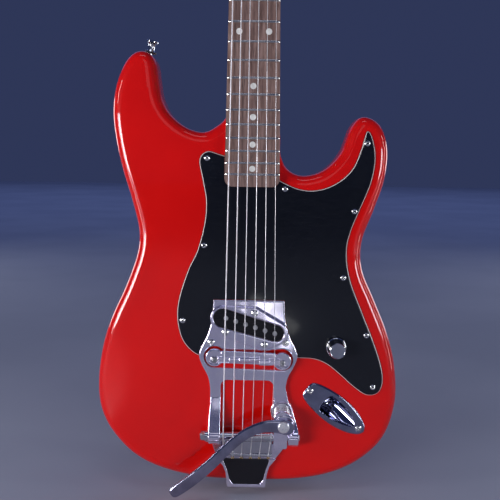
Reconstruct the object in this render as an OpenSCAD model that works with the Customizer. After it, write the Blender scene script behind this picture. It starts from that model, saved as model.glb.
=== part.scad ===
// Solid-body electric guitar, double cutaway, bolt-on neck, one pickup, cast vibrato frame.
// X: treble side. Y: towards the back. Z: up along the neck. Millimetres.
// The origin is where the end strap button meets the bottom of the body.
// "h" is a height above the front face of the body.

/* [Body] */
// Body thickness, front face to back face
body_t = 44.5; // [40:0.5:50]
// Radius of the rounded body edge
edge_r = 10; // [6:0.5:11]
// Depth of the neck pocket
pocket_depth = 14.4; // [13:0.1:18]

/* [Neck] */
// Scale length, nut to saddle line
scale_len = 647.7; // [610:0.1:660]
// Height of the saddle line above the origin
saddle_z = 139.5; // [130:0.5:150]
// Number of frets
fret_count = 21; // [20:1:22]
// Width of the board at the nut
nut_w = 41.6; // [40:0.1:44]
// Width of the board at its end
heel_w = 56.4; // [55:0.1:58]
// Radius of the playing surface
board_radius = 241; // [180:1:400]
// Height of the playing surface above the body
board_h = 11; // [9:0.5:13]

/* [Strings] */
// Outer string spacing at the saddles
saddle_spread = 52.3; // [50:0.1:56]
// Outer string spacing at the nut
nut_spread = 35.4; // [33:0.1:38]
// Height of the middle of the string set at the saddles
saddle_h = 15.6; // [13:0.1:18]

/* [Hardware] */
// Thickness of the pickguard
guard_t = 2.3; // [1.5:0.1:3]
// Height of the vibrato shaft axis above the body
shaft_h = 9.2; // [8:0.1:12]
// Distance from the bottom of the body to the vibrato shaft
shaft_z = 54.8; // [50:0.1:60]
// Running clearance of shafts, on the radius
run_gap = 0.05; // [0.01:0.01:0.1]

/* [Hidden] */
$fn = 64;
big_fn = 720;
half_t = body_t / 2;
nut_z = saddle_z + scale_len;
board_end_z = 319.5;
board_t = 6;
board_corner_r = 8.5;
neck_h = board_h - board_t;
nut_len = 4;
nut_lift = 1.35;
head_h = neck_h - 1.75;
head_back_h = -10.25;
guard_gap = 0.3;
frame_x = -1.5;
shaft_r = 4;
drum_r = 5.2;
arm_x = 36.5;
arm_z = 72;
arm_h = 21.6;
spring_z = 81.6;
spring_r = 8.8;
spring_lean = 1.5;
spring_pitch = 3.46;
lobe_xz = [35.4, 77.4];
lobe_r = 9.4;
spring_seat_h = 3.5;
spring_top_h = 16.5;
spring_x = 35;
rail_h = 10;
rock_h = 7;
rail_bar_z = shaft_z - 19.6;
bush_x = [-42.3, 41.8];
bush_len = [11.9, 11];
shaft_ends = [-51.2, 54.2];
drum_ends = [-29.6, 25.6];
rail_ends = [-29, 25];
rail_tip_r = 2.3;
ball_r = 1.95;
arm_contour_r = 300;
belly_contour_r = 290;
cavity_depth = 20;
jack_cavity_depth = 30;
control_box = [48, 34, 38];
channel_r = 4;
guard_screw_len = 11;
frame_screw_len = 22;
strap_screw_len = 24;
ply_heights = [0.75, 1.5];
ply_steps = [0.6, 1.7];
dot_r = 3.1;
knob_x = 91;
knob_z = 152;
jack_x = 91.2;
jack_z = 83.2;
jack_turn = 37.5;
jack_tilt = 60;
tuner_turn = 14.7;
tuner_pitch = 25;
tuner_screw = [5.9, -9.3];
post_r = 3;
post_xz = [[-36.8, 138.6], [34.4, 135.8]];
boss_xz = [[-36.7, 141], [34.3, 138]];
slot_xz = [[-36.7, 139.9], [34.4, 137.8]];
pickup_xz = [[-28.3, 182.6], [26.9, 167.2]];
pickup_screw_xz = [[4.7, 188.4], [-25.6, 167.5], [15.3, 154.7]];
frame_screw_xz = [[-40.7, 155.7], [37.6, 156.2]];
tail_screw_xz = [[-12, 22], [7, 22]];
panel_top_z = 28.6;
guard_screw_xz = [[-46.5, 348], [-49, 258], [-71, 178], [117, 365], [34, 317.5],
    [106, 295.5], [96.5, 226], [122.5, 165], [131, 109]];
neck_screw_xz = [[-19, 330], [19, 330], [-19, 381], [19, 381]];
string_r = [0.62, 0.52, 0.4, 0.3, 0.24, 0.2];
saddle_step = [-1.1, -0.7, -0.3, 0.1, -3.2, -2];
horn_xz = [-107.4, 455.2];
horn_tilt = 12;
marker_frets = [3, 5, 7, 9, 12, 15, 17, 19, 21];

body_pts = [[-109, 454.4], [-121, 453.6], [-132, 442], [-141, 419], [-144, 393], [-141, 364],
    [-134, 333], [-125, 303], [-118, 272], [-120, 247], [-132, 213], [-146, 182],
    [-157, 150], [-163, 112], [-161, 80], [-148, 53], [-124, 27], [-92, 11], [-50, 2],
    [0, 0], [50, 1.5], [90, 9.5], [122, 26], [146, 52], [157, 90], [155, 130], [146, 165],
    [131, 201], [117, 234], [116, 264], [127, 296], [137, 328], [139, 360], [130, 384],
    [113, 392], [101, 381], [91, 355], [74, 337], [53, 331], [37, 337], [29, 352],
    [28, 374], [22, 391], [0, 395], [-22, 394], [-34, 383], [-50, 374.5], [-69, 379],
    [-86, 393], [-94.5, 411], [-97.5, 430], [-100.5, 445.5]];
guard_pts = [[-29, 351], [-46, 355], [-54.5, 346], [-51, 325], [-47.5, 304], [-49, 281],
    [-56, 253], [-66, 231], [-75, 202], [-77, 180], [-72, 158], [-60, 143.5], [-44, 139],
    [0, 141], [50, 139], [68, 138], [82, 132.5], [96, 121.5], [110, 109], [124, 100],
    [136, 101.5], [141.5, 112], [140, 130], [131, 157], [117, 191], [104, 224],
    [99.5, 252], [103, 274], [113, 300], [122.5, 325], [126, 350], [122, 371], [116, 377],
    [111, 360], [103, 340], [90, 326.5], [72, 318], [52, 317], [29, 326], [0, 345]];
frame_side = [[37, 201], [37.6, 188], [39, 177], [43.5, 162], [50, 149], [51.8, 140],
    [48, 129.5], [42.6, 119], [40.2, 108], [40, 96]];
rail_side = [[53, 45], [52.9, 56], [52.3, 63.7], [50.9, 69.6], [48.9, 75.5], [47, 81.4],
    [45, 86.5], [41.9, 93.2], [40.4, 99.9], [38.6, 108], [38.4, 118]];
tail_pts = [[-41, 50], [-33.5, 28], [-27, 20.5], [-24.3, 13.5], [-23, 4], [-22.5, -3],
    [18.5, -3], [19.3, 4], [20.6, 13], [23, 20.5], [29, 28], [41, 44]];
jack_cup_r = 10.9;
jack_opening_pts = [[-15.2, 10.2], [-6, 10.6], [4, 9.8], [13, 8], [20, 5.6], [25.4, 2.9], [28.4, 0]];
jack_pts = [[-38, 0], [-37, 7.5], [-31, 11.5], [-18, 14.4], [-3, 15.8], [12, 15], [27, 11.2],
    [37, 5.5], [40, 0]];
head_pts = [[-21, 786], [-25, 800], [-33, 812], [-33, 824], [-24, 858], [-14, 896],
    [-4, 934], [3, 961], [12, 974], [25, 973], [31, 960], [31, 930], [29, 890],
    [26, 850], [23, 812], [21, 786]];
arm_path = [[39.5, 71.6], [24, 72.4], [12, 70.4], [0, 65], [-12, 56.6], [-25, 44.8], [-40, 29.8],
    [-60, 12.6], [-76, 0.8], [-80, -2.2]];
arm_widths = [16.6, 13.6, 12, 11.4, 11.4, 11.8, 12.4, 13, 12, 7];
arm_rise = [0, 0, 0, 0, 0.6, 2, 3.6, 4.6, 4.8, 4.6];

// Curve through the control points.
function bend(a, b, c, d, t) = 0.5 * ((2 * b) + (c - a) * t
    + (2 * a - 5 * b + 4 * c - d) * t * t + (3 * b - a - 3 * c + d) * t * t * t);
function ring(p, n) = [for (i = [0:len(p) - 1]) for (k = [0:n - 1])
    bend(p[(i + len(p) - 1) % len(p)], p[i], p[(i + 1) % len(p)], p[(i + 2) % len(p)], k / n)];
function trail(p, n) = concat([for (i = [0:len(p) - 2]) for (k = [0:n - 1])
    bend(p[max(i - 1, 0)], p[i], p[i + 1], p[min(i + 2, len(p) - 1)], k / n)],
    [p[len(p) - 1]]);
function unit(v) = v / norm(v);
function side(p, i) = let (n = len(p), t = unit(p[(i + 1) % n] - p[(i + n - 1) % n]))
    [-t[1], t[0]];
function inset(p, d) = [for (i = [0:len(p) - 1]) p[i] + d * side(p, i)];
function mirrored(p) = concat([for (q = p) [frame_x + q[0], q[1]]],
    [for (i = [len(p) - 1:-1:0]) [frame_x - p[i][0], p[i][1]]]);

// Triangles that fill a closed outline.
function turn(a, b, c) = (b[0] - a[0]) * (c[1] - a[1]) - (b[1] - a[1]) * (c[0] - a[0]);
function holds(a, b, c, v) = turn(a, b, v) >= 0 && turn(b, c, v) >= 0 && turn(c, a, v) >= 0;
function is_ear(p, q, i) = let (n = len(q), l = q[(i + n - 1) % n], k = q[i], r = q[(i + 1) % n])
    turn(p[l], p[k], p[r]) > 0 && len([for (o = q)
        if (o != l && o != k && o != r && holds(p[l], p[k], p[r], p[o])) o]) == 0;
function find_ear(p, q, i) = i >= len(q) - 1 || is_ear(p, q, i) ? i : find_ear(p, q, i + 1);
function cap(p, q) = len(q) < 3 ? [] : let (n = len(q), i = find_ear(p, q, 0))
    concat([[q[(i + n - 1) % n], q[i], q[(i + 1) % n]]],
    cap(p, [for (k = [1:n - 1]) q[(i + k) % n]]));

// Places along the neck and the string set.
function fret_z(n) = nut_z - scale_len * (1 - pow(2, -n / 12));
function board_w(z) = nut_w + (heel_w - nut_w) * (nut_z - z) / (nut_z - board_end_z);
function arc_drop(x) = x * x / (2 * board_radius);
function string_x(i, spread) = spread * (i / 5 - 0.5);
function saddle_at(i) = let (x = string_x(i, saddle_spread))
    [x, -(half_t + saddle_h - arc_drop(x)), saddle_z + saddle_step[i]];
function nut_at(i) = let (x = string_x(i, nut_spread))
    [x, -(half_t + board_h + nut_lift + string_r[i] - arc_drop(x)), nut_z];
function drum_x(i) = -26.6 + 10.1 * i;
function drum_at(i) = [drum_x(i), -(half_t + shaft_h + drum_r + string_r[i] + 0.02), shaft_z];
function rail_x(i) = -26.2 + 9.5 * i;
function post_x(i) = -15 + tuner_pitch * i * sin(tuner_turn);
function post_z(i) = 826 + tuner_pitch * i * cos(tuner_turn);

// Drawing helpers: everything below works in heights above the front face.
module top() {
    translate([0, -half_t, 0])
        children();
}
module plate(h0, h1) {
    translate([0, -h0, 0])
        rotate([90, 0, 0])
            linear_extrude(h1 - h0)
                children();
}
module pin(x, z, h0, h1, r) {
    translate([x, -h0, z])
        rotate([90, 0, 0])
            cylinder(h = h1 - h0, r = r);
}
module cone(x, z, h0, h1, r0, r1) {
    translate([x, -h0, z])
        rotate([90, 0, 0])
            cylinder(h = h1 - h0, r1 = r0, r2 = r1);
}
module cross_rod(x0, x1, h, z, r) {
    translate([x0, -h, z])
        rotate([0, 90, 0])
            cylinder(h = x1 - x0, r = r);
}
module along(a, b, r) {
    v = b - a;
    translate(a)
        rotate([0, acos(v[2] / norm(v)), atan2(v[1], v[0])])
            cylinder(h = norm(v), r = r, $fn = 16);
}
module loft(rings) {
    m = len(rings);
    n = len(rings[0]);
    polyhedron([for (q = rings) for (v = q) v], concat(
        [[for (i = [0:n - 1]) i]],
        [for (j = [0:m - 2]) for (i = [0:n - 1])
            [j * n + i, (j + 1) * n + i, j * n + (i + 1) % n]],
        [for (j = [0:m - 2]) for (i = [0:n - 1])
            [(j + 1) * n + i, (j + 1) * n + (i + 1) % n, j * n + (i + 1) % n]],
        [[for (i = [n - 1:-1:0]) (m - 1) * n + i]]));
}
module screw(x, z, h_top, depth, head_r, head_t, r) {
    difference() {
        union() {
            cone(x, z, h_top - head_t, h_top, r, head_r);
            pin(x, z, h_top - depth, h_top - head_t, r);
        }
        translate([x - head_r * 0.62, -h_top - 0.1, z - 0.35])
            cube([head_r * 1.24, head_t * 0.5 + 0.1, 0.7]);
        translate([x - 0.35, -h_top - 0.1, z - head_r * 0.62])
            cube([0.7, head_t * 0.5 + 0.1, head_r * 1.24]);
    }
}
module pan_screw(x, z, h_seat, depth, head_r, head_t, r) {
    difference() {
        union() {
            cone(x, z, h_seat, h_seat + head_t, head_r, head_r * 0.7);
            pin(x, z, h_seat - depth, h_seat, r);
        }
        translate([x - head_r * 0.55, -h_seat - head_t - 0.1, z - 0.4])
            cube([head_r * 1.1, head_t * 0.5 + 0.1, 0.8]);
        translate([x - 0.4, -h_seat - head_t - 0.1, z - head_r * 0.55])
            cube([0.8, head_t * 0.5 + 0.1, head_r * 1.1]);
    }
}

// Body: a rounded slab with the arm and belly contours, the pocket and the cavities.
module body_blank() {
    edge = ring(body_pts, 3);
    n = len(edge);
    wall = [for (a = [90:-22.5:0]) [edge_r * (1 - cos(a)), -(half_t - edge_r) - edge_r * sin(a)]];
    lines = concat(wall, [for (i = [len(wall) - 1:-1:0]) [wall[i][0], -wall[i][1]]]);
    m = len(lines);
    face = cap(inset(edge, edge_r), [for (i = [0:n - 1]) i]);
    polyhedron([for (w = lines) for (q = inset(edge, w[0])) [q[0], w[1], q[1]]], concat(
        face,
        [for (j = [0:m - 2]) for (i = [0:n - 1])
            [j * n + i, (j + 1) * n + i, j * n + (i + 1) % n]],
        [for (j = [0:m - 2]) for (i = [0:n - 1])
            [(j + 1) * n + i, (j + 1) * n + (i + 1) % n, j * n + (i + 1) % n]],
        [for (f = face) [f[2] + (m - 1) * n, f[1] + (m - 1) * n, f[0] + (m - 1) * n]]));
}
module pickup_slot(grow) {
    hull() {
        translate(pickup_xz[0])
            circle(r = 10.2 + grow);
        translate(pickup_xz[1])
            circle(r = 8.8 + grow);
    }
}
module jack_place() {
    translate([jack_x, 0, jack_z])
        rotate([0, jack_turn, 0])
            children();
}
module jack_axis() {
    translate([-9.5, 9.5, 0])
        rotate([0, 0, jack_tilt])
            rotate([90, 0, 0])
                children();
}
module jack_cavity_outline() {
    hull() {
        translate([-14, 0])
            circle(r = 13);
        translate([10, 0])
            circle(r = 13);
        translate([24, 0])
            circle(r = 8.5);
    }
}
module body() {
    color([0.72, 0.02, 0.02])
        difference() {
            body_blank();
            // arm contour on the front, belly contour on the back
            translate([-215, -half_t - 288, 115])
                sphere(r = arm_contour_r, $fn = 200);
            translate([-175, half_t + 272, 285])
                sphere(r = belly_contour_r, $fn = 200);
            top() {
                plate(-pocket_depth, 1)
                    pocket_outline();
                plate(-cavity_depth, 1)
                    pickup_slot(1.2);
                translate([knob_x, 0, knob_z] - [control_box[0], 0, control_box[2]] / 2)
                    cube(control_box);
                jack_place()
                    plate(-jack_cavity_depth, 1)
                        jack_cavity_outline();
                along([24, 12, 168], [knob_x - 20, 12, knob_z + 6], channel_r);
                along([knob_x, 22, knob_z - 10], [jack_x, 22, jack_z + 6], channel_r);
                for (p = post_xz)
                    pin(p[0], p[1], -cavity_depth, 1, 5.4);
                for (p = neck_screw_xz)
                    pin(p[0], p[1], -body_t - 1, 0, 2.4);
                for (p = guard_screw_xz)
                    pin(p[0], p[1], -guard_screw_len, 1, 1.3);
                for (p = concat(frame_screw_xz, tail_screw_xz))
                    pin(p[0], p[1], -frame_screw_len, 1, 2.1);
                for (p = pickup_screw_xz)
                    pin(p[0], p[1], -12, 1, 3.2);
                jack_place()
                    for (s = [-33, 33])
                        pin(s, 0, -14, 1, 1.5);
            }
            strap_places() {
                translate([0, 0, -strap_screw_len])
                    cylinder(h = strap_screw_len + 2, r = 1.9);
                translate([0, 0, -0.6])
                    cylinder(h = 4, r = 6.3);
            }
        }
}
module pocket_outline() {
    w = heel_w + 0.3;
    polygon([[-w / 2, board_end_z - 0.2], [w / 2, board_end_z - 0.2],
        [board_w(400) / 2 + 0.3, 400], [-board_w(400) / 2 - 0.3, 400]]);
}

// Black and white laminated pickguard.
module guard_outline(d) {
    difference() {
        polygon(inset(ring(guard_pts, 3), d));
        offset(r = board_corner_r)
            offset(delta = -board_corner_r)
                polygon([[-heel_w / 2 - 0.4 - d, board_end_z - 0.4 - d],
                    [heel_w / 2 + 0.4 + d, board_end_z - 0.4 - d],
                    [heel_w / 2 + 0.4 + d, 420], [-heel_w / 2 - 0.4 - d, 420]]);
        offset(delta = guard_gap)
            frame_outline();
    }
}
module guard_holes() {
    for (p = guard_screw_xz)
        pin(p[0], p[1], -1, 4, 1.6);
    for (p = guard_screw_xz)
        cone(p[0], p[1], guard_t - 1.3, guard_t + 0.01, 1.5, 3);
    pin(knob_x, knob_z, -1, 4, 3.6);
}
module pickguard() {
    color([0.03, 0.03, 0.035])
        top()
            difference() {
                union() {
                    plate(0, ply_heights[0])
                        guard_outline(0);
                    plate(ply_heights[1], guard_t)
                        guard_outline(ply_steps[1]);
                }
                guard_holes();
            }
}
module pickguard_core() {
    color([0.9, 0.9, 0.92])
        top()
            difference() {
                plate(ply_heights[0], ply_heights[1])
                    guard_outline(ply_steps[0]);
                guard_holes();
            }
}
module pickguard_screws() {
    color([0.75, 0.75, 0.77])
        top()
            for (p = guard_screw_xz)
                screw(p[0], p[1], guard_t, guard_screw_len, 2.9, 1.3, 1.25);
}

// Neck: heel, shaft with a rounded back, and a six-in-line head.
module neck() {
    stations = [[372, 18.9, 9], [384, 18.9, 9], [398, 18.4, 5], [412, 17, 3],
        [430, 16.2, 2.3], [520, 15.8, 2.1], [620, 15.3, 2.1], [720, 14.9, 2.1],
        [775, 14.7, 2.1], [788, 14.6, 2.4], [798, 14.6, 3]];
    color([0.8, 0.62, 0.38])
        top()
            difference() {
                union() {
                    loft([for (s = stations) [for (a = [0:12:180])
                        let (c = cos(a), w = board_w(min(s[0], nut_z)) / 2 - 0.15)
                            [w * sign(c) * pow(abs(c), 2 / s[2]),
                            -neck_h + s[1] * pow(sin(a), 2 / s[2]), s[0]]]]);
                    plate(neck_h - 19.3, neck_h)
                        heel_outline();
                    plate(head_back_h, head_h)
                        head_outline();
                    plate(head_back_h + 2, neck_h)
                        polygon([[-nut_w / 2 + 0.6, 782], [nut_w / 2 - 0.6, 782],
                            [nut_w / 2 - 0.6, nut_z + 9], [-nut_w / 2 + 0.6, nut_z + 9]]);
                }
                translate([-3.3, -neck_h - 1, 330])
                    cube([6.6, 10, nut_z - 322]);
                translate([-4.2, -neck_h - 1, nut_z - 0.1])
                    cube([8.4, 11, 20]);
                for (i = [0:5])
                    pin(post_x(i), post_z(i), -12, 6, 4.5);
                for (i = [0:5])
                    tuner_place(i)
                        pin(tuner_screw[0], tuner_screw[1], -12, -4, 1.15);
                for (p = neck_screw_xz)
                    pin(p[0], p[1], -pocket_depth - 1, -1.5, 2.15);
                pin(14.2, 868, -3, 6, 1.2);
            }
}
module heel_outline() {
    offset(r = board_corner_r)
        offset(delta = -board_corner_r)
            polygon([[-heel_w / 2, board_end_z], [heel_w / 2, board_end_z],
                [board_w(384) / 2, 384], [-board_w(384) / 2, 384]]);
}
module head_outline() {
    polygon(ring(head_pts, 4));
}
module board_plan() {
    offset(r = board_corner_r)
        offset(delta = -board_corner_r)
            polygon([[-heel_w / 2, board_end_z], [heel_w / 2, board_end_z],
                [nut_w / 2, nut_z + 20], [-nut_w / 2, nut_z + 20]]);
}
module board_blank() {
    intersection() {
        plate(neck_h, board_h)
            intersection() {
                board_plan();
                translate([-40, board_end_z])
                    square([80, nut_z - board_end_z]);
            }
        translate([0, board_radius - board_h, 200])
            cylinder(h = 700, r = board_radius, $fn = big_fn);
    }
}
module dot_pins() {
    for (n = marker_frets)
        for (x = n == 12 ? [-14.7, 14.7] : [0])
            pin(x, (fret_z(n) + fret_z(n - 1)) / 2, board_h - 2, board_h + 1, dot_r);
    for (n = marker_frets)
        for (s = n == 12 ? [-3, 3] : [0])
            cross_rod(-30, -board_w(fret_z(n)) / 2 + 2.5, neck_h + 3.2,
                (fret_z(n) + fret_z(n - 1)) / 2 + s, 1);
}
module fret_bars(w, h0) {
    for (n = [1:fret_count])
        translate([-board_w(fret_z(n)) / 2 + 0.4, -board_h - 2, fret_z(n) - w / 2])
            cube([board_w(fret_z(n)) - 0.8, 2 + board_h - h0, w]);
}
module fretboard() {
    color([0.22, 0.11, 0.08])
        top()
            difference() {
                board_blank();
                dot_pins();
                fret_bars(0.6, board_h - 2.6);
            }
}
module frets() {
    color([0.78, 0.78, 0.76])
        top() {
            intersection() {
                fret_bars(2.4, board_h - 2);
                difference() {
                    translate([0, board_radius - board_h, 300])
                        cylinder(h = 500, r = board_radius + 1.1, $fn = big_fn);
                    translate([0, board_radius - board_h, 299])
                        cylinder(h = 502, r = board_radius, $fn = big_fn);
                }
            }
            intersection() {
                fret_bars(0.6, board_h - 2.6);
                translate([0, board_radius - board_h, 300])
                    cylinder(h = 500, r = board_radius, $fn = big_fn);
            }
        }
}
module position_dots() {
    color([0.92, 0.92, 0.88])
        top()
            intersection() {
                board_blank();
                dot_pins();
            }
}
module nut() {
    color([0.93, 0.91, 0.84])
        top()
            difference() {
                intersection() {
                    translate([-nut_w / 2, -board_h - 2.6, nut_z])
                        cube([nut_w, board_h + 2.6 - neck_h, nut_len]);
                    translate([0, board_radius - board_h, nut_z - 1])
                        cylinder(h = nut_len + 2, r = board_radius + 2.2, $fn = big_fn);
                }
                for (i = [0:5])
                    translate([nut_at(i)[0] - string_r[i] - 0.1, nut_at(i)[1] + half_t - 3, nut_z - 1])
                        cube([2 * string_r[i] + 0.2, 3 + string_r[i] + 0.05, nut_len + 2]);
            }
}
module truss_rod() {
    color([0.45, 0.45, 0.47])
        top() {
            translate([0, -neck_h + 4.4, 334])
                cylinder(h = nut_z - 334, r = 3);
            difference() {
                translate([0, -neck_h + 4.4, nut_z])
                    cylinder(h = 14, r = 3.9);
                translate([0, -neck_h + 4.4, nut_z + 7])
                    cylinder(h = 8, r = 2.3, $fn = 6);
            }
        }
}
module neck_plate() {
    color([0.8, 0.8, 0.82])
        top()
            difference() {
                plate(-body_t - 1.6, -body_t)
                    translate([0, 355.5])
                        offset(r = 3)
                            square([45, 58], center = true);
                for (p = neck_screw_xz)
                    pin(p[0], p[1], -body_t - 2, -body_t + 1, 2.4);
            }
}
module neck_screws() {
    color([0.75, 0.75, 0.77])
        top()
            for (p = neck_screw_xz) {
                cone(p[0], p[1], -body_t - 4, -body_t - 1.6, 2.6, 4.4);
                pin(p[0], p[1], -body_t - 1.6, -2, 2.1);
            }
}
module string_trees() {
    color([0.8, 0.8, 0.82])
        top() {
            pin(14.2, 868, -2.5, 13.4, 1.15);
            difference() {
                translate([10, -13.2, 865])
                    cube([8.4, 1.4, 6]);
                pin(14.2, 868, 11, 14, 1.15);
            }
        }
}

// Strap buttons.
module strap_places() {
    rotate([180, 0, 0])
        children();
    translate([horn_xz[0], 0, horn_xz[1]])
        rotate([0, horn_tilt, 0])
            children();
}
module strap_buttons() {
    color([0.82, 0.82, 0.84])
        strap_places()
            difference() {
                rotate_extrude()
                    polygon([[0, 1], [4.6, 1], [3.6, 3], [3.4, 6.5], [4.2, 8.6], [6.3, 10.2],
                        [6.4, 11.6], [5.6, 12.4], [0, 12.8]]);
                cylinder(h = 10.5, r = 2);
                translate([0, 0, 10.4])
                    cylinder(h = 3, r = 3.4);
            }
}
module strap_washers() {
    color([0.06, 0.06, 0.06])
        strap_places()
            difference() {
                translate([0, 0, -0.6])
                    cylinder(h = 1.6, r = 6.2);
                translate([0, 0, -1])
                    cylinder(h = 3, r = 2);
            }
}
module strap_screws() {
    color([0.7, 0.7, 0.72])
        strap_places()
            difference() {
                union() {
                    translate([0, 0, -22])
                        cylinder(h = 32.4, r = 1.85);
                    translate([0, 0, 10.4])
                        cylinder(h = 1.9, r1 = 3.3, r2 = 2.6);
                }
                translate([-2, -0.4, 11.6])
                    cube([4, 0.8, 1]);
            }
}

// Cast frame: pickup surround, bridge slot, two rails and the tail.
module frame_outline() {
    polygon(mirrored(trail(frame_side, 4)));
}
module frame_boss_outline() {
    hull() {
        translate(pickup_xz[0] + [0, -0.8])
            circle(r = 13.2);
        translate(pickup_xz[1] + [0.3, 0])
            circle(r = 12.4);
        for (p = pickup_screw_xz)
            translate(p)
                circle(r = 5.6);
    }
}
module bridge_slot_outline() {
    for (c = slot_xz)
        translate(c)
            circle(r = 11.4);
    polygon([[slot_xz[0][0], 128.5], [slot_xz[1][0], 126.4], [slot_xz[1][0], 149.2],
        [22.8, 148.2], [19, 147.2], [15.4, 146.7], [12, 147], [7.7, 147.8], [-27, 147.8],
        [slot_xz[0][0], 149.5]]);
}
module rails_outline() {
    polygon([[-40.4, 116], [-30.2, 116], [-30.2, 45], [-42.6, 45], [-42.4, 72], [-41, 92]]);
    polygon(concat([[25.8, 118], [26.6, 100], [26.4, 94.6], [24.4, 88.6], [23.4, 82.5], [24.6, 77],
        [28, 72.5], [41.8, 70], [41.8, 45]], trail(rail_side, 4)));
}
module vibrato_frame() {
    color([0.8, 0.81, 0.84])
        top()
            difference() {
                union() {
                    plate(0, 5)
                        difference() {
                            union() {
                                frame_outline();
                                rails_outline();
                            }
                            bridge_slot_outline();
                            offset(r = 7)
                                offset(delta = -7)
                                    polygon([[-30.2, 115], [25.6, 115], [26, 40], [-30.2, 40]]);
                        }
                    plate(5, 8.6)
                        difference() {
                            frame_boss_outline();
                            bridge_slot_outline();
                        }
                    plate(0, 3.6)
                        polygon(tail_pts);
                    plate(3.6, 6.4)
                        difference() {
                            polygon(tail_pts);
                            translate([-50, panel_top_z])
                                square([100, 40]);
                            tail_panel_outline(0.05);
                        }
                    intersection() {
                        plate(3.6, 20)
                            rails_outline();
                        ear_wedge();
                    }
                    cross_rod(-42.3, -30.4, shaft_h, shaft_z, 8.4);
                    cross_rod(41.8, 52.8, shaft_h, shaft_z, 8.8);
                    pin(spring_x, spring_z + 0.2, 0, 5, spring_r + 3.2);
                }
                plate(-1, 10)
                    pickup_slot(0);
                pin(spring_x, spring_z - 0.7, spring_seat_h, 12, spring_r + 1.2);
                cross_rod(-60, 60, shaft_h, shaft_z, shaft_r + 1.6);
                for (p = pickup_screw_xz)
                    pin(p[0], p[1], -1, 12, 1.75);
                for (p = frame_screw_xz)
                    pin(p[0], p[1], -1, 12, 2.2);
                for (p = frame_screw_xz)
                    pin(p[0], p[1], 5, 12, 3.8);
                for (p = tail_screw_xz)
                    pin(p[0], p[1], -1, 12, 2.2);
                for (p = tail_screw_xz)
                    pin(p[0], p[1], 1.6, 12, 3.8);
            }
}
module ear_wedge() {
    ear_ramp(-50, 20, 7.8, 96);
    ear_ramp(47.2, 12, 8.2, 78);
    ear_block();
}
module ear_ramp(x, w, r, z_top) {
    translate([x, 0, 0])
        rotate([90, 0, 90])
            linear_extrude(w)
                hull() {
                    translate([-shaft_h, shaft_z])
                        circle(r = r, $fn = 40);
                    polygon([[0, shaft_z - r], [0, z_top], [-5, z_top]]);
                }
}
module ear_block() {
    translate([41.8, 0, 0])
        rotate([90, 0, 90])
            linear_extrude(12)
                polygon([[0, 45], [-rail_h, 45], [-rail_h, 62], [-rail_h + 1, 72], [-5, 96], [0, 96]]);
}
module tail_panel_outline(grow) {
    offset(delta = grow)
        offset(r = 2)
            offset(delta = -2)
                polygon([[-27.4, panel_top_z], [-22.4, 16], [-19.6, 5], [-15.4, 0.4], [11.8, 0.4],
                    [16, 5], [18.8, 16], [23, panel_top_z]]);
}
module tail_panel() {
    color([0.03, 0.03, 0.035])
        top()
            plate(3.6, 5.4)
                intersection() {
                    tail_panel_outline(0);
                    translate([-50, -5])
                        square([100, 60]);
                }
}
module frame_screws() {
    color([0.75, 0.75, 0.78])
        top() {
            for (p = frame_screw_xz)
                pan_screw(p[0], p[1], 5, 24, 3.6, 1.9, 2.05);
            for (p = tail_screw_xz)
                pan_screw(p[0], p[1], 1.6, 20, 3.6, 1.6, 2.05);
        }
}

// Slanted single-coil pickup.
module pickup_bobbin() {
    color([0.04, 0.04, 0.045])
        top()
            difference() {
                union() {
                    plate(6.4, 8.2)
                        pickup_slot(-0.5);
                    plate(-9, -7)
                        pickup_slot(0.9);
                    plate(-7, 6.4)
                        pickup_slot(-5.5);
                }
                for (i = [0:5])
                    pin(pole_xz(i)[0], pole_xz(i)[1], -14, 10, 2.45);
                for (p = pickup_screw_xz)
                    pin(p[0], p[1], -12, 12, 1.8);
            }
}
function pole_xz(i) = [-25.1 + 10.22 * i, 182.6 - 3.13 * i];
module pickup_coil() {
    color([0.45, 0.2, 0.08])
        top()
            difference() {
                plate(-6.9, 6.3)
                    pickup_slot(-1.5);
                plate(-8, 7)
                    pickup_slot(-5.4);
            }
}
module pickup_poles() {
    color([0.72, 0.72, 0.74])
        top()
            for (i = [0:5])
                pin(pole_xz(i)[0], pole_xz(i)[1], -12, 9.4, 2.4);
}
module pickup_screws() {
    color([0.75, 0.75, 0.78])
        top()
            for (p = pickup_screw_xz)
                pan_screw(p[0], p[1], 8.6, 19, 3.7, 1.9, 1.7);
}
module pickup_springs() {
    color([0.6, 0.6, 0.62])
        top()
            for (p = pickup_screw_xz)
                for (k = [0:3])
                    difference() {
                        pin(p[0], p[1], -6.6 + k * 1.7, -5.6 + k * 1.7, 2.9);
                        pin(p[0], p[1], -7 + k * 1.7, -5 + k * 1.7, 1.9);
                    }
}

// Rocking bar bridge on two posts.
module bridge_bar() {
    color([0.8, 0.81, 0.84])
        top()
            difference() {
                union() {
                    for (p = boss_xz)
                        pin(p[0], p[1], 7, 12, 9.2);
                    plate(8, 9.5)
                        polygon([[-36, 145], [34, 143.4], [34, 135], [24, 134.2],
                            [6, 135], [-36, 136]]);
                    plate(9.4, 12.6)
                        polygon([[-36, 148.4], [34, 146.4], [34, 135], [24, 133.6],
                            [6, 134.6], [-36, 135.4]]);
                    for (i = [0:5])
                        saddle_block(i);
                    along(rock_at(0.12), rock_at(0.88), 1.5);
                }
                for (p = post_xz)
                    pin(p[0], p[1], 6, 14, 3.3);
            }
}
function rock_at(t) = let (p = post_xz[0] + (post_xz[1] - post_xz[0]) * t)
    [p[0], -rock_h, p[1]];
module saddle_block(i) {
    s = saddle_at(i);
    crest = -s[1] - half_t - string_r[i] - 0.02;
    translate([s[0] - 5.2, 1.1 - crest, s[2] - 1.6])
        cube([10.4, crest - 13.1, 3.2]);
    cross_rod(s[0] - 5.2, s[0] + 5.2, crest - 1.2, s[2], 1.2);
}
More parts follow.
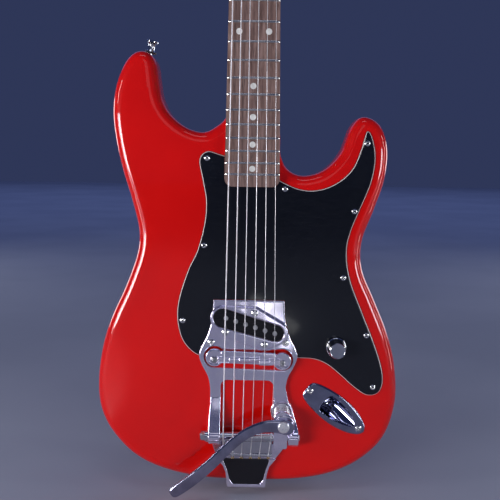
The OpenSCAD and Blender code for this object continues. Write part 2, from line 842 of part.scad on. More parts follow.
module bridge_posts() {
    color([0.7, 0.7, 0.73])
        top()
            for (p = post_xz)
                difference() {
                    union() {
                        pin(p[0], p[1], -17, 12.4, 3);
                        pin(p[0], p[1], 5, 6.6, 5.5);
                    }
                    translate([p[0], -13, p[1]])
                        rotate([-90, 0, 0])
                            cylinder(h = 4, r = 1.5, $fn = 6);
                }
}
module post_bushes() {
    color([0.65, 0.6, 0.45])
        top()
            for (p = post_xz)
                difference() {
                    union() {
                        pin(p[0], p[1], -19.5, 0, 5.35);
                        pin(p[0], p[1], 0, 1, 7);
                    }
                    pin(p[0], p[1], -18, 2, 3.02);
                }
}

// Vibrato shaft with its string rail.
module string_shaft() {
    color([0.78, 0.79, 0.82])
        top()
            difference() {
                union() {
                    cross_rod(shaft_ends[0], shaft_ends[1], shaft_h, shaft_z, shaft_r);
                    cross_rod(drum_ends[0], drum_ends[1], shaft_h, shaft_z, drum_r);
                    translate([rail_ends[0], -shaft_h - 1.2, rail_bar_z])
                        cube([rail_ends[1] - rail_ends[0], 2.8, 16]);
                    cross_rod(rail_ends[0], rail_ends[1], shaft_h + 0.4, rail_bar_z, rail_tip_r);
                }
                for (i = [0:5])
                    translate([rail_x(i) - 0.75, -shaft_h - 4, rail_bar_z - 2.6])
                        cube([1.5, 3.6, 5]);
            }
}
module shaft_bushes() {
    color([0.7, 0.62, 0.35])
        top() {
            for (k = [0, 1])
                difference() {
                    cross_rod(bush_x[k], bush_x[k] + bush_len[k], shaft_h, shaft_z, shaft_r + 1.6);
                    cross_rod(bush_x[k] - 1, bush_x[k] + 13, shaft_h, shaft_z, shaft_r + run_gap);
                }
        }
}
module shaft_nut() {
    color([0.8, 0.8, 0.82])
        top()
            difference() {
                union() {
                    cross_rod(-44.4, -42.7, shaft_h, shaft_z, 6.8);
                    cross_rod(-46.2, -44.6, shaft_h, shaft_z, 6);
                    translate([-50.2, -shaft_h, shaft_z])
                        rotate([0, 90, 0])
                            cylinder(h = 4, r = 5.6, $fn = 6);
                }
                cross_rod(-52, -42, shaft_h, shaft_z, shaft_r);
            }
}
module string_ends() {
    color([0.8, 0.62, 0.25])
        top()
            for (i = [0:5]) {
                rail_top = [rail_x(i), -(shaft_h + 2.8 + string_r[i]), rail_bar_z];
                cross_rod(rail_x(i) - 1.8, rail_x(i) + 1.8, shaft_h + 1, rail_bar_z - 4.3, ball_r);
                along([drum_x(i), drum_at(i)[1] + half_t, shaft_z - 1.2], rail_top, string_r[i]);
                along(rail_top, [rail_x(i), -shaft_h - 1.6, rail_bar_z - 3.8], string_r[i]);
                translate(rail_top)
                    sphere(r = string_r[i] * 1.03, $fn = 16);
            }
}
module arm_bracket() {
    color([0.8, 0.81, 0.84])
        top()
            difference() {
                union() {
                    cross_rod(26.4, 40.8, shaft_h, shaft_z, 8);
                    plate(8, arm_h - 3)
                        polygon([[26.4, shaft_z - 8], [27.6, shaft_z - 9.6], [39.6, shaft_z - 9.6],
                            [40.8, shaft_z - 8], [40.8, shaft_z + 2], [26.4, shaft_z + 2]]);
                    plate(12, arm_h - 1)
                        polygon([[26.4, shaft_z], [40.8, shaft_z], [41.2, shaft_z + 10],
                            [47, arm_z - 3], [47, arm_z + 4], [lobe_xz[0] + lobe_r, lobe_xz[1]],
                            [lobe_xz[0] - lobe_r, lobe_xz[1]], [26.4, 66]]);
                    pin(lobe_xz[0], lobe_xz[1], 12, arm_h - 1, lobe_r);
                    pin(arm_x + 1.5, arm_z + 1, 12.6, arm_h - 0.1, 10);
                }
                cross_rod(20, 45, shaft_h, shaft_z, shaft_r);
                translate([20, -spring_top_h, shaft_z + 13])
                    cube([40, 12, 40]);
                translate([20, -14, shaft_z + 8.6])
                    cube([40, 12, 10]);
                pin(arm_x, arm_z, 10, 30, 3.5);
            }
}
module return_spring() {
    turns = 4;
    color([0.72, 0.72, 0.75])
        top()
            for (k = [0:turns - 1])
                translate([spring_x, -(spring_seat_h + 1.3 + k * spring_pitch),
                    spring_z - k * spring_lean])
                    rotate([90, 0, 0])
                        rotate_extrude()
                            translate([spring_r - 1.15, 0])
                                circle(r = 1.15, $fn = 24);
}
module arm_stud() {
    color([0.72, 0.72, 0.75])
        top()
            difference() {
                union() {
                    pin(arm_x, arm_z, spring_top_h, 26.6, 3.5);
                    cone(arm_x, arm_z, 26.2, 28.4, 6.2, 5.2);
                }
                cone(arm_x, arm_z, 28.1, 28.5, 3.9, 4);
            }
}
module vibrato_arm() {
    path = trail(arm_path, 3);
    wide = trail([for (w = arm_widths) [w, 0]], 3);
    rise = trail([for (h = arm_rise) [h, 0]], 3);
    n = len(path);
    color([0.8, 0.81, 0.84])
        top()
            difference() {
                union() {
                    loft([for (i = [0:n - 1]) let (
                        t = unit(path[min(i + 1, n - 1)] - path[max(i - 1, 0)]),
                        s = [-t[1], t[0]], c = path[i], w = wide[i][0] / 2, h = arm_h + 2.1 + rise[i][0])
                        [for (a = [0:30:330]) [c[0] + s[0] * w * soft(cos(a)),
                            -h - 2 * soft(sin(a)), c[1] + s[1] * w * soft(cos(a))]]]);
                    pin(arm_x + 3, arm_z - 0.4, arm_h + 0.1, arm_h + 4.1, 8.3);
                }
                pin(arm_x, arm_z, arm_h - 2, arm_h + 8, 3.5 + run_gap);
            }
}
function soft(v) = sign(v) * pow(abs(v), 0.7);

// Volume control.
module volume_knob() {
    color([0.8, 0.8, 0.83])
        top()
            difference() {
                translate([knob_x, -guard_t - 0.6, knob_z])
                    rotate([90, 0, 0])
                        rotate_extrude()
                            polygon([[0, 0], [10.6, 0], [10.9, 1], [10.4, 2.2], [9.4, 3], [8.8, 15],
                                [8.2, 16.4], [7, 17], [0, 17]]);
                pin(knob_x, knob_z, 0, 6.4, 7.4);
                pin(knob_x, knob_z, 0, 16, 3);
                pin(knob_x, knob_z, 19.6, 20, 6.6);
            }
}
module potentiometer() {
    color([0.6, 0.6, 0.6])
        top()
            difference() {
                union() {
                    pin(knob_x, knob_z, -11, -0.1, 12);
                    pin(knob_x, knob_z, -0.1, 6.2, 3.55);
                    translate([knob_x - 8, 6, knob_z - 17])
                        cube([16, 1, 8]);
                }
                pin(knob_x, knob_z, -5, 7, 3 + run_gap);
            }
}
module pot_shaft() {
    color([0.75, 0.7, 0.5])
        top()
            pin(knob_x, knob_z, -4, 16, 3);
}
module pot_nut() {
    color([0.8, 0.8, 0.8])
        top()
            difference() {
                union() {
                    pin(knob_x, knob_z, guard_t, guard_t + 0.8, 6.4);
                    translate([knob_x, -guard_t - 0.8, knob_z])
                        rotate([90, 0, 0])
                            cylinder(h = 2.2, r = 5.8, $fn = 6);
                }
                pin(knob_x, knob_z, 0, 8, 3.55);
            }
}

// Recessed output jack.
module jack_outline() {
    upper = trail(jack_pts, 4);
    polygon(concat(upper, [for (i = [len(upper) - 2:-1:1]) [upper[i][0], -upper[i][1]]]));
}
module jack_plate() {
    color([0.8, 0.8, 0.83])
        top()
            jack_place()
                difference() {
                    union() {
                        plate(0, 1)
                            jack_outline();
                        plate(1, 1.8)
                            offset(delta = -1)
                                jack_outline();
                        jack_cup(1.1, -30, 1.7);
                    }
                    jack_cup(0, -30, 4);
                    jack_axis()
                        translate([0, 0, -3])
                            cylinder(h = 6, r = 4.8);
                    for (s = [-33, 33])
                        pin(s, 0, -1, 3, 1.9);
                    for (s = [-33, 33])
                        cone(s, 0, 0.6, 1.81, 1.8, 3.3);
                }
}
module jack_cup(grow, h0, h1) {
    intersection() {
        plate(h0, h1)
            offset(delta = grow)
                jack_opening();
        hull()
            for (lift = [0, 30])
                translate([0, -lift, 0])
                    jack_axis()
                        translate([0, 0, -1.4 * grow])
                            cylinder(h = 70, r = jack_cup_r + grow);
    }
}
module jack_opening() {
    edge = trail(jack_opening_pts, 4);
    polygon(concat([for (q = edge) q], [for (i = [len(edge) - 2:-1:0]) [edge[i][0], -edge[i][1]]]));
}
module jack_screws() {
    color([0.7, 0.7, 0.72])
        top()
            jack_place()
                for (s = [-33, 33])
                    screw(s, 0, 1.8, 14, 3.2, 1.2, 1.45);
}
module jack_socket() {
    color([0.72, 0.7, 0.65])
        top()
            jack_place()
                jack_axis() {
                    difference() {
                        union() {
                            translate([0, 0, -12])
                                cylinder(h = 15.4, r = 4.7);
                            translate([0, 0, -6])
                                cylinder(h = 4.4, r = 7);
                        }
                        translate([0, 0, -13])
                            cylinder(h = 18, r = 3.2);
                    }
                    difference() {
                        translate([0, 0, 0.1])
                            cylinder(h = 2.2, r = 6.9, $fn = 6);
                        translate([0, 0, -1])
                            cylinder(h = 5, r = 4.75);
                    }
                }
}
module wire(p, r) {
    for (i = [0:len(p) - 2])
        along(p[i], p[i + 1], r);
    for (i = [1:len(p) - 2])
        translate(p[i])
            sphere(r = r * 1.03, $fn = 16);
}
module wiring() {
    color([0.85, 0.85, 0.8])
        top() {
            wire([[20, 16, 169.5], [32, 14, 166.5], [76, 12, 158.5], [84, 14, 140]], 1.1);
            wire([[92.5, 17, 140], [91.5, 22, 131], [91, 22.2, 90]], 1.1);
        }
}

// Tuning machines.
module tuner_place(i) {
    translate([post_x(i), 0, post_z(i)])
        rotate([0, tuner_turn, 0])
            children();
}
module tuner_housings() {
    color([0.76, 0.76, 0.79])
        top()
            for (i = [0:5])
                tuner_place(i)
                    difference() {
                        plate(head_back_h - 8.8, head_back_h)
                            offset(r = 2)
                                polygon([[-10, -10.4], [6.4, -10.4], [6.4, 5], [-4, 5], [-10, -2]]);
                        pin(0, 0, head_back_h - 6.6, 0, 5.1);
                        cross_rod(-14, 4.4, head_back_h - 4.3, -7.6, 2.3);
                        pin(tuner_screw[0], tuner_screw[1], -30, 0, 1.2);
                    }
}
module tuner_ferrules() {
    color([0.8, 0.8, 0.82])
        top()
            for (i = [0:5])
                difference() {
                    union() {
                        pin(post_x(i), post_z(i), -6, head_h, 4.45);
                        pin(post_x(i), post_z(i), head_h, head_h + 1.2, 5.8);
                    }
                    pin(post_x(i), post_z(i), -7, 8, post_r + run_gap);
                }
}
module tuner_screws() {
    color([0.75, 0.75, 0.78])
        top()
            for (i = [0:5])
                tuner_place(i) {
                    pin(tuner_screw[0], tuner_screw[1], head_back_h - 8.8, -5, 1.1);
                    cone(tuner_screw[0], tuner_screw[1], head_back_h - 10, head_back_h - 8.8, 1.4, 2.1);
                }
}
module tuner_post(i) {
    color([0.78, 0.78, 0.8])
        top()
            difference() {
                union() {
                    pin(post_x(i), post_z(i), head_back_h - 6.4, 16, post_r);
                    pin(post_x(i), post_z(i), head_back_h - 6.4, head_back_h - 2.2, 4.95);
                    pin(post_x(i), post_z(i), 14.6, 16.4, post_r);
                }
                translate([post_x(i), -16.5, post_z(i)])
                    rotate([-90, 0, 0])
                        cylinder(h = 6, r = 0.9);
                translate([post_x(i), 0, post_z(i)])
                    rotate([0, tuner_turn, 0])
                        translate([-4, -16.5, -0.6])
                            cube([8, 3, 1.2]);
            }
}
module tuner_button(i) {
    color([0.8, 0.8, 0.82])
        top()
            tuner_place(i) {
                cross_rod(-22, 4.2, head_back_h - 4.3, -7.6, 2.25);
                cross_rod(-20.6, -15, head_back_h - 4.3, -7.6, 3.1);
                intersection() {
                    pin(-27.4, -7.6, head_back_h - 7.8, head_back_h - 0.8, 8.6);
                    cross_rod(-40, -15, head_back_h - 4.3, -7.6, 8.2);
                }
            }
}
module tuner_post_1() {
    tuner_post(0);
}
module tuner_post_2() {
    tuner_post(1);
}
module tuner_post_3() {
    tuner_post(2);
}
module tuner_post_4() {
    tuner_post(3);
}
module tuner_post_5() {
    tuner_post(4);
}
module tuner_post_6() {
    tuner_post(5);
}
module tuner_button_1() {
    tuner_button(0);
}
module tuner_button_2() {
    tuner_button(1);
}
module tuner_button_3() {
    tuner_button(2);
}
module tuner_button_4() {
    tuner_button(3);
}
module tuner_button_5() {
    tuner_button(4);
}
module tuner_button_6() {
    tuner_button(5);
}

// Strings: from the drum over the saddle and the nut to the posts.
module strings() {
    color([0.8, 0.8, 0.8])
        for (i = [0:5]) {
            lead = nut_at(i) + [0, 0, nut_len];
            bend_r = string_r[i];
            along(drum_at(i), saddle_at(i), bend_r);
            along(saddle_at(i), nut_at(i), bend_r);
            along(nut_at(i), lead, bend_r);
            along(lead, [post_x(i) + post_r + bend_r + 0.05, -half_t - 9.5, post_z(i)], bend_r);
            for (p = [saddle_at(i), nut_at(i), lead])
                translate(p)
                    sphere(r = bend_r * 1.03, $fn = 16);
        }
}

body();
pickguard();
pickguard_core();
pickguard_screws();
neck();
fretboard();
frets();
position_dots();
nut();
truss_rod();
neck_plate();
neck_screws();
string_trees();
strap_buttons();
strap_washers();
strap_screws();
vibrato_frame();
frame_screws();
tail_panel();
pickup_bobbin();
pickup_coil();
pickup_poles();
pickup_screws();
pickup_springs();
bridge_bar();
bridge_posts();
post_bushes();
string_shaft();
shaft_bushes();
shaft_nut();
string_ends();
arm_bracket();
return_spring();
arm_stud();
vibrato_arm();
volume_knob();
potentiometer();
pot_shaft();
pot_nut();
jack_plate();
jack_screws();
jack_socket();
wiring();
tuner_housings();
tuner_ferrules();
tuner_screws();
strings();
tuner_post_1();
tuner_post_2();
tuner_post_3();
tuner_post_4();
tuner_post_5();
tuner_post_6();
tuner_button_1();
tuner_button_2();
tuner_button_3();
tuner_button_4();
tuner_button_5();
tuner_button_6();
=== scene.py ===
# Electric guitar with a cast vibrato frame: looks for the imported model.
# Metres. X: treble side. Y: back. Z: up along the neck. Lengths named below are millimetres.
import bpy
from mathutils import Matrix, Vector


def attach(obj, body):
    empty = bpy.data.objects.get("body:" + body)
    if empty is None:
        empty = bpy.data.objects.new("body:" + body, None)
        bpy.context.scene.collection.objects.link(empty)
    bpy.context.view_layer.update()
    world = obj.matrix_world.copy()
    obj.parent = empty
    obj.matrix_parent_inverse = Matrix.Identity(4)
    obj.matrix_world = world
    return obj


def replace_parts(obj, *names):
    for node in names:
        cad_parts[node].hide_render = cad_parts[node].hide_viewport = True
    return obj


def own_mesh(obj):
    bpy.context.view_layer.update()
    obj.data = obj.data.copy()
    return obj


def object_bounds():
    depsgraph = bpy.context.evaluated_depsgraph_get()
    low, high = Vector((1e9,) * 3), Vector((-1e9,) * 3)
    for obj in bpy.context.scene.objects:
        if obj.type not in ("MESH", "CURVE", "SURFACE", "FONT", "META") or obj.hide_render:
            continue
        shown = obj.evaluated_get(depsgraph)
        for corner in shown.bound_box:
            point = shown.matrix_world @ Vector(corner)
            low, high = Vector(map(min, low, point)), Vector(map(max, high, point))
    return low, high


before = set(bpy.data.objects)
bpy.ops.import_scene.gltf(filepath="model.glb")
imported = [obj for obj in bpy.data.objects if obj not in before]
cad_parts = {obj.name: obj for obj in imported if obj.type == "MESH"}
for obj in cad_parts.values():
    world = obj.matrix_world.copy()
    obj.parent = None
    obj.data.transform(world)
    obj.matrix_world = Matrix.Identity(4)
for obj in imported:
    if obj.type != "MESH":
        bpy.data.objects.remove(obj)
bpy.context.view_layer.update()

import math

import bmesh
import bpy
import numpy as np
from mathutils import Matrix, Quaternion, Vector
from mathutils.geometry import delaunay_2d_cdt

MM = 0.001
SCRATCH_DEPTH = 0.02
HALF_T = 22.25      # half the body's thickness
EDGE_R = 10.0       # rounding of the body's edge
POCKET_H, JACK_CAVITY_H, PICKUP_CAVITY_H = -14.4, -30, -20      # their floors, from the front face
POCKET_TOP_Z = 400
OUT_H = 5           # cutters end here, clear of the face
ARM_SCOOP = (-215, 115, 300, 288)     # ball: centre's x and z, radius, its distance from the face
BELLY_SCOOP = (-175, 285, 290, 272)
SCOOP_SOFT = 2.2    # square of the scoops' soft start
SCALE_LEN = 647.7
SADDLE_Z = 139.5
NUT_Z = SADDLE_Z + SCALE_LEN
BOARD_END_Z = 319.5
NUT_W = 41.6
HEEL_W = 56.4
BOARD_RADIUS = 241.0
BOARD_H = 11.0
BOARD_CORNER_R = 8.5
NECK_H = 5.0
HEAD_H = 3.25
HEAD_BACK_H = -10.25
FRET_COUNT = 21
GUARD_T = 2.3
SHAFT_H = 9.2
SHAFT_Z = 54.8
DRUM_R = 5.2
FRAME_X = -1.5
ARM_X, ARM_Z, ARM_H = 36.5, 72.0, 21.6
SPRING_X, SPRING_Z, SPRING_R, SPRING_LEAN = 35.0, 81.6, 8.8, 4.8
RAIL_Z = SHAFT_Z - 19.6
RAIL_R = 2.3
DRUM_FIRST_X, DRUM_STEP = -26.6, 10.1      # where the strings lie over the drum
RAIL_FIRST_X, RAIL_STEP = -26.2, 9.5
BAND_PERIOD = 0.314     # of a wave texture, at scale 1
NUT_LIFT = 1.35
NUT_SPREAD, SADDLE_SPREAD, SADDLE_H = 35.4, 52.3, 15.6
HEEL_TOP_Z, HEEL_BOTTOM_H = 384, -14.3
ROCK_ROOM = 0.2     # left under the strings for the bar's rocking
TUNER_SCREW = (5.9, -9.3)   # from its post
KNOB_X, KNOB_Z = 91.0, 152.0
JACK_X, JACK_Z, JACK_TURN = 91.2, 83.2, 37.5
TUNER_TURN = 14.7
TUNER_PITCH = 25.0
FIRST_POST = (-15, 826)
KEY_X, KEY_H = -27.4, -7.6   # middle of a tuner's button, from its post
POST_R = 3.0
POST_WRAP_H = 9.5   # where a string meets its post
STRING_R = [0.62, 0.52, 0.4, 0.3, 0.24, 0.2]
SADDLE_STEP = [-1.1, -0.7, -0.3, 0.1, -3.2, -2.0]
BODY_PTS = [
    (-109, 454.4), (-121, 453.6), (-132, 442), (-141, 419), (-144, 393), (-141, 364),
    (-134, 333), (-125, 303), (-118, 272), (-120, 247), (-132, 213), (-146, 182),
    (-157, 150), (-163, 112), (-161, 80), (-148, 53), (-124, 27), (-92, 11), (-50, 2),
    (0, 0), (50, 1.5), (90, 9.5), (122, 26), (146, 52), (157, 90), (155, 130), (146, 165),
    (131, 201), (117, 234), (116, 264), (127, 296), (137, 328), (139, 360), (130, 384),
    (113, 392), (101, 381), (91, 355), (74, 337), (53, 331), (37, 337), (29, 352),
    (28, 374), (22, 391), (0, 395), (-22, 394), (-34, 383), (-50, 374.5), (-69, 379),
    (-86, 393), (-94.5, 411), (-97.5, 430), (-100.5, 445.5)]
GUARD_PTS = [
    (-29, 351), (-46, 355), (-54.5, 346), (-51, 325), (-47.5, 304), (-49, 281),
    (-56, 253), (-66, 231), (-75, 202), (-77, 180), (-72, 158), (-60, 143.5), (-44, 139),
    (0, 141), (50, 139), (68, 138), (82, 132.5), (96, 121.5), (110, 109), (124, 100),
    (136, 101.5), (141.5, 112), (140, 130), (131, 157), (117, 191), (104, 224),
    (99.5, 252), (103, 274), (113, 300), (122.5, 325), (126, 350), (122, 371), (116, 377),
    (111, 360), (103, 340), (90, 326.5), (72, 318), (52, 317), (29, 326), (0, 345)]
FRAME_SIDE = [
    (37, 201), (37.6, 188), (39, 177), (43.5, 162), (50, 149), (51.8, 140),
    (48, 129.5), (42.6, 119), (40.2, 108), (40, 96)]
HEAD_PTS = [
    (-21, 786), (-25, 800), (-33, 812), (-33, 824), (-24, 858), (-14, 896),
    (-4, 934), (3, 961), (12, 974), (25, 973), (31, 960), (31, 930), (29, 890),
    (26, 850), (23, 812), (21, 786)]
ARM_PATH = [
    (39.5, 71.6), (24, 72.4), (12, 70.4), (0, 65), (-12, 56.6), (-25, 44.8), (-40, 29.8),
    (-60, 12.6), (-76, 0.8), (-80, -2.2)]
ARM_WIDTHS = [16.6, 13.6, 12, 11.4, 11.4, 11.8, 12.4, 13, 12, 7]
ARM_RISE = [0, 0, 0, 0, 0.6, 2, 3.6, 4.6, 4.8, 4.6]
NECK_STATIONS = [
    (372, 18.9, 9), (384, 18.9, 9), (398, 18.4, 5), (412, 17, 3), (430, 16.2, 2.3),
    (520, 15.8, 2.1), (620, 15.3, 2.1), (720, 14.9, 2.1), (775, 14.7, 2.1),
    (788, 14.6, 2.4), (798, 14.6, 3)]
GUARD_SCREWS = [
    (-46.5, 348), (-49, 258), (-71, 178), (117, 365), (34, 317.5), (106, 295.5),
    (96.5, 226), (122.5, 165), (131, 109)]
FRAME_SCREWS = [(-40.7, 155.7), (37.6, 156.2)]
PICKUP_SCREWS = [(4.7, 188.4), (-25.6, 167.5), (15.3, 154.7)]
NECK_SCREWS = [(-19, 330), (19, 330), (-19, 381), (19, 381)]
BRIDGE_POSTS = [(-36.8, 138.6), (34.4, 135.8)]
BRIDGE_BOSSES = [(-36.7, 141.0), (34.3, 138.0)]
CAMERA_PLACE = (0.00645, -0.79621, 0.35354)     # metres
CAMERA_TURNS = (7.361, -0.567, 0.809)           # degrees down, to the left and rolled
LENS = 54


# ---------------------------------------------------------------- places
def at(x, h, z):
    """Point at height h above the front face."""
    return Vector((x * MM, -(HALF_T + h) * MM, z * MM))


def board_w(z):
    """Width of the neck and its board."""
    return NUT_W + (HEEL_W - NUT_W) * (NUT_Z - z) / (NUT_Z - BOARD_END_Z)


def fret_z(n):
    return NUT_Z - SCALE_LEN * (1 - 2 ** (-n / 12))


def string_x(i, spread):
    return spread * (i / 5 - 0.5)


def arc_drop(x):
    """How far the board's arched top lies under its middle."""
    return x * x / (2 * BOARD_RADIUS)


def saddle_at(i):
    x = string_x(i, SADDLE_SPREAD)
    return at(x, SADDLE_H - arc_drop(x), SADDLE_Z + SADDLE_STEP[i])


def nut_at(i, along=0.0):
    x = string_x(i, NUT_SPREAD)
    return at(x, BOARD_H + NUT_LIFT + STRING_R[i] - arc_drop(x), NUT_Z + along)


def drum_x(i):
    return DRUM_FIRST_X + DRUM_STEP * i


def rail_x(i):
    return RAIL_FIRST_X + RAIL_STEP * i


def post_xz(i):
    """Place of a tuner's post, from the nut upwards."""
    turn = math.radians(TUNER_TURN)
    along = TUNER_PITCH * i
    return FIRST_POST[0] + along * math.sin(turn), FIRST_POST[1] + along * math.cos(turn)


# ---------------------------------------------------------------- outlines
def spline(a, b, c, d, t):
    return 0.5 * (2 * b + (c - a) * t + (2 * a - 5 * b + 4 * c - d) * t * t
                  + (3 * b - a - 3 * c + d) * t ** 3)


def ring(points, n):
    """Smooth closed outline through points, n steps between two."""
    p = np.array(points, float)
    m = len(p)
    return np.array([spline(p[i - 1], p[i], p[(i + 1) % m], p[(i + 2) % m], k / n)
                     for i in range(m) for k in range(n)])


def trail(points, n):
    """As ring, for an open line."""
    p = np.array(points, float)
    m = len(p)
    out = [spline(p[max(i - 1, 0)], p[i], p[i + 1], p[min(i + 2, m - 1)], k / n)
           for i in range(m - 1) for k in range(n)]
    return np.array(out + [p[-1]])


def inward(outline, spread=0):
    """Inward normal at each point of a closed outline, evened over its neighbours."""
    t = np.roll(outline, -1, 0) - np.roll(outline, 1, 0)
    n = np.stack([-t[:, 1], t[:, 0]], 1)
    n /= np.linalg.norm(n, axis=1)[:, None]
    total = sum(np.roll(n, k, 0) for k in range(-spread, spread + 1))
    return total / np.linalg.norm(total, axis=1)[:, None]


def inside(points, outline):
    """Which points lie inside a closed outline."""
    a, b = outline, np.roll(outline, -1, 0)
    found = np.zeros(len(points), bool)
    for (x0, z0), (x1, z1) in zip(a, b):
        if z0 == z1:
            continue
        crosses = (points[:, 1] > min(z0, z1)) & (points[:, 1] <= max(z0, z1))
        x = x0 + (points[:, 1] - z0) * (x1 - x0) / (z1 - z0)
        found ^= crosses & (points[:, 0] < x)
    return found


# ---------------------------------------------------------------- mesh tools
def placed(name, mesh):
    """A new object in the scene."""
    obj = bpy.data.objects.new(name, mesh)
    bpy.context.scene.collection.objects.link(obj)
    return obj


def tidy(mesh):
    """Points the faces outwards."""
    bm = bmesh.new()
    bm.from_mesh(mesh)
    bmesh.ops.recalc_face_normals(bm, faces=bm.faces)
    bm.to_mesh(mesh)
    bm.free()


def plain_mesh(name, part):
    """Mesh of a part, which is a pair of lists: places and faces."""
    mesh = bpy.data.meshes.new(name)
    mesh.from_pydata([tuple(v) for v in part[0]], [], [tuple(f) for f in part[1]])
    tidy(mesh)
    return mesh


def finished(name, mesh, material, body, angle):
    """A piece that rides on a body; edges sharper than the angle stay crisp."""
    obj = placed(name, mesh)
    mesh.materials.clear()
    mesh.materials.append(material)
    tidy(mesh)
    mesh.shade_smooth()
    mesh.set_sharp_from_angle(angle=math.radians(angle))
    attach(obj, body)
    return obj


def make(name, part, material, body, angle):
    return finished(name, plain_mesh(name, part), material, body, angle)


def joined(*parts):
    """Several parts as one."""
    verts, faces = [], []
    for v, f in parts:
        base = len(verts)
        verts += [Vector(p) for p in v]
        faces += [[i + base for i in face] for face in f]
    return verts, faces


def moved(part, matrix):
    return [matrix @ Vector(v) for v in part[0]], part[1]


def stacked(rows, n, flip=False):
    """Faces of a stack of closed rings of n points each, with both ends shut."""
    sides = [[r * n + k, r * n + (k + 1) % n, (r + 1) * n + (k + 1) % n, (r + 1) * n + k]
             for r in range(rows - 1) for k in range(n)]
    first, last = list(range(n)), [(rows - 1) * n + k for k in range(n)]
    return sides + ([first[::-1], last] if flip else [first, last[::-1]])


def tube(points, radius, sides):
    """Round tube along points; radius is one number or one for each point."""
    pts = [Vector(p) for p in points]
    n = len(pts)
    radii = [radius] * n if isinstance(radius, (int, float)) else list(radius)
    tangents = [(pts[min(i + 1, n - 1)] - pts[max(i - 1, 0)]).normalized() for i in range(n)]
    normal = tangents[0].orthogonal().normalized()
    verts = []
    for i in range(n):
        normal = (normal - tangents[i] * normal.dot(tangents[i])).normalized()
        other = tangents[i].cross(normal)
        for k in range(sides):
            a = 2 * math.pi * k / sides
            verts.append(pts[i] + (normal * math.cos(a) + other * math.sin(a)) * radii[i])
    return verts, stacked(n, sides, flip=True)


def turned(r, h, k, segments):
    """A profile's point after k of its segments, about Z."""
    a = 2 * math.pi * k / segments
    return Vector((r * MM * math.cos(a), r * MM * math.sin(a), h * MM))


def lathe(profile, segments, matrix):
    """Solid of revolution from (radius, height) pairs in mm; ends on the axis."""
    verts, faces, rows = [], [], []
    for r, h in profile:
        count = segments if r > 0 else 1
        rows.append([len(verts) + k for k in range(count)])
        verts += [matrix @ turned(r, h, k, segments) for k in range(count)]
    for lo, hi in zip(rows, rows[1:]):
        for k in range(segments):
            m = (k + 1) % segments
            face = [lo[k % len(lo)], lo[m % len(lo)], hi[m % len(hi)], hi[k % len(hi)]]
            face = list(dict.fromkeys(face))
            if len(face) > 2:
                faces.append(face)
    return verts, faces


def ring_lathe(profile, segments, matrix):
    """As lathe, for a closed profile that doesn't reach the axis."""
    n = len(profile)
    verts = [matrix @ turned(r, h, k, segments) for k in range(segments) for r, h in profile]
    faces = []
    for k in range(segments):
        m = (k + 1) % segments
        for i in range(n):
            j = (i + 1) % n
            faces.append([k * n + i, k * n + j, m * n + j, m * n + i])
    return verts, faces


def facing(x, z, h):
    """Matrix that puts a lathe's axis towards the front at a place on the face."""
    return Matrix.Translation(at(x, h, z)) @ Matrix.Rotation(math.radians(90), 4, "X")


def slab(outline, h0, h1, taper=0.0, spread=0):
    """Closed plate between two heights; its outline shrinks by taper on the way up."""
    top = outline + inward(outline, spread) * taper
    verts = [at(p[0], h0, p[1]) for p in outline] + [at(p[0], h1, p[1]) for p in top]
    return verts, stacked(2, len(outline))


def rounded_slab(outline, h0, h1, edge, steps=4):
    """Plate whose upper edge is rounded."""
    normal = inward(outline)
    rows = [(0.0, h0)]
    for k in range(steps + 1):
        a = math.pi / 2 * k / steps
        rows.append((edge * (1 - math.cos(a)), h1 - edge * (1 - math.sin(a))))
    verts = [at(p[0], h, p[1]) for d, h in rows for p in outline + normal * d]
    return verts, stacked(len(rows), len(outline))


def baked(obj):
    """The object's mesh with its modifiers applied; the object itself is removed."""
    bpy.context.view_layer.update()
    got = bpy.data.meshes.new_from_object(
        obj.evaluated_get(bpy.context.evaluated_depsgraph_get()))
    bpy.data.objects.remove(obj)
    return got


def cut(mesh, *cutters):
    """A mesh less the parts that cut it."""
    obj = placed("blank", mesh)
    tools = [placed("cutter", plain_mesh("cutter", part)) for part in cutters]
    for tool in tools:
        mod = obj.modifiers.new("cut", "BOOLEAN")
        mod.operation, mod.solver, mod.object = "DIFFERENCE", "EXACT", tool
    left = baked(obj)
    for tool in tools:
        bpy.data.objects.remove(tool)
    return left


def softened(mesh, voxel, rounds):
    """Remeshed and relaxed, so that every edge is a cast radius; voxel in mm."""
    obj = placed("soften", mesh)
    mod = obj.modifiers.new("voxels", "REMESH")
    mod.mode, mod.voxel_size, mod.adaptivity = "VOXEL", voxel * MM, 0
    mod = obj.modifiers.new("relax", "SMOOTH")
    mod.iterations, mod.factor = rounds, 0.5
    return baked(obj)


def from_node(name, voxel, rounds, material, body="guitar"):
    """A CAD node's own shape with cast edges, standing for that node."""
    mesh = softened(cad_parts[name].data.copy(), voxel, rounds)
    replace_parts(finished(name + "_cast", mesh, material, body, 60), name)


def dress(name, material, bevel=0.0, angle=35):
    """Finish for a CAD node that stays as it is; bevel in mm."""
    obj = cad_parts[name]
    obj.data.materials.clear()
    obj.data.materials.append(material)
    for poly in obj.data.polygons:
        poly.material_index = 0
    if bevel:
        mod = obj.modifiers.new("edge", "BEVEL")
        mod.width, mod.segments, mod.harden_normals = bevel * MM, 2, False
        mod.limit_method, mod.angle_limit = "ANGLE", math.radians(angle)


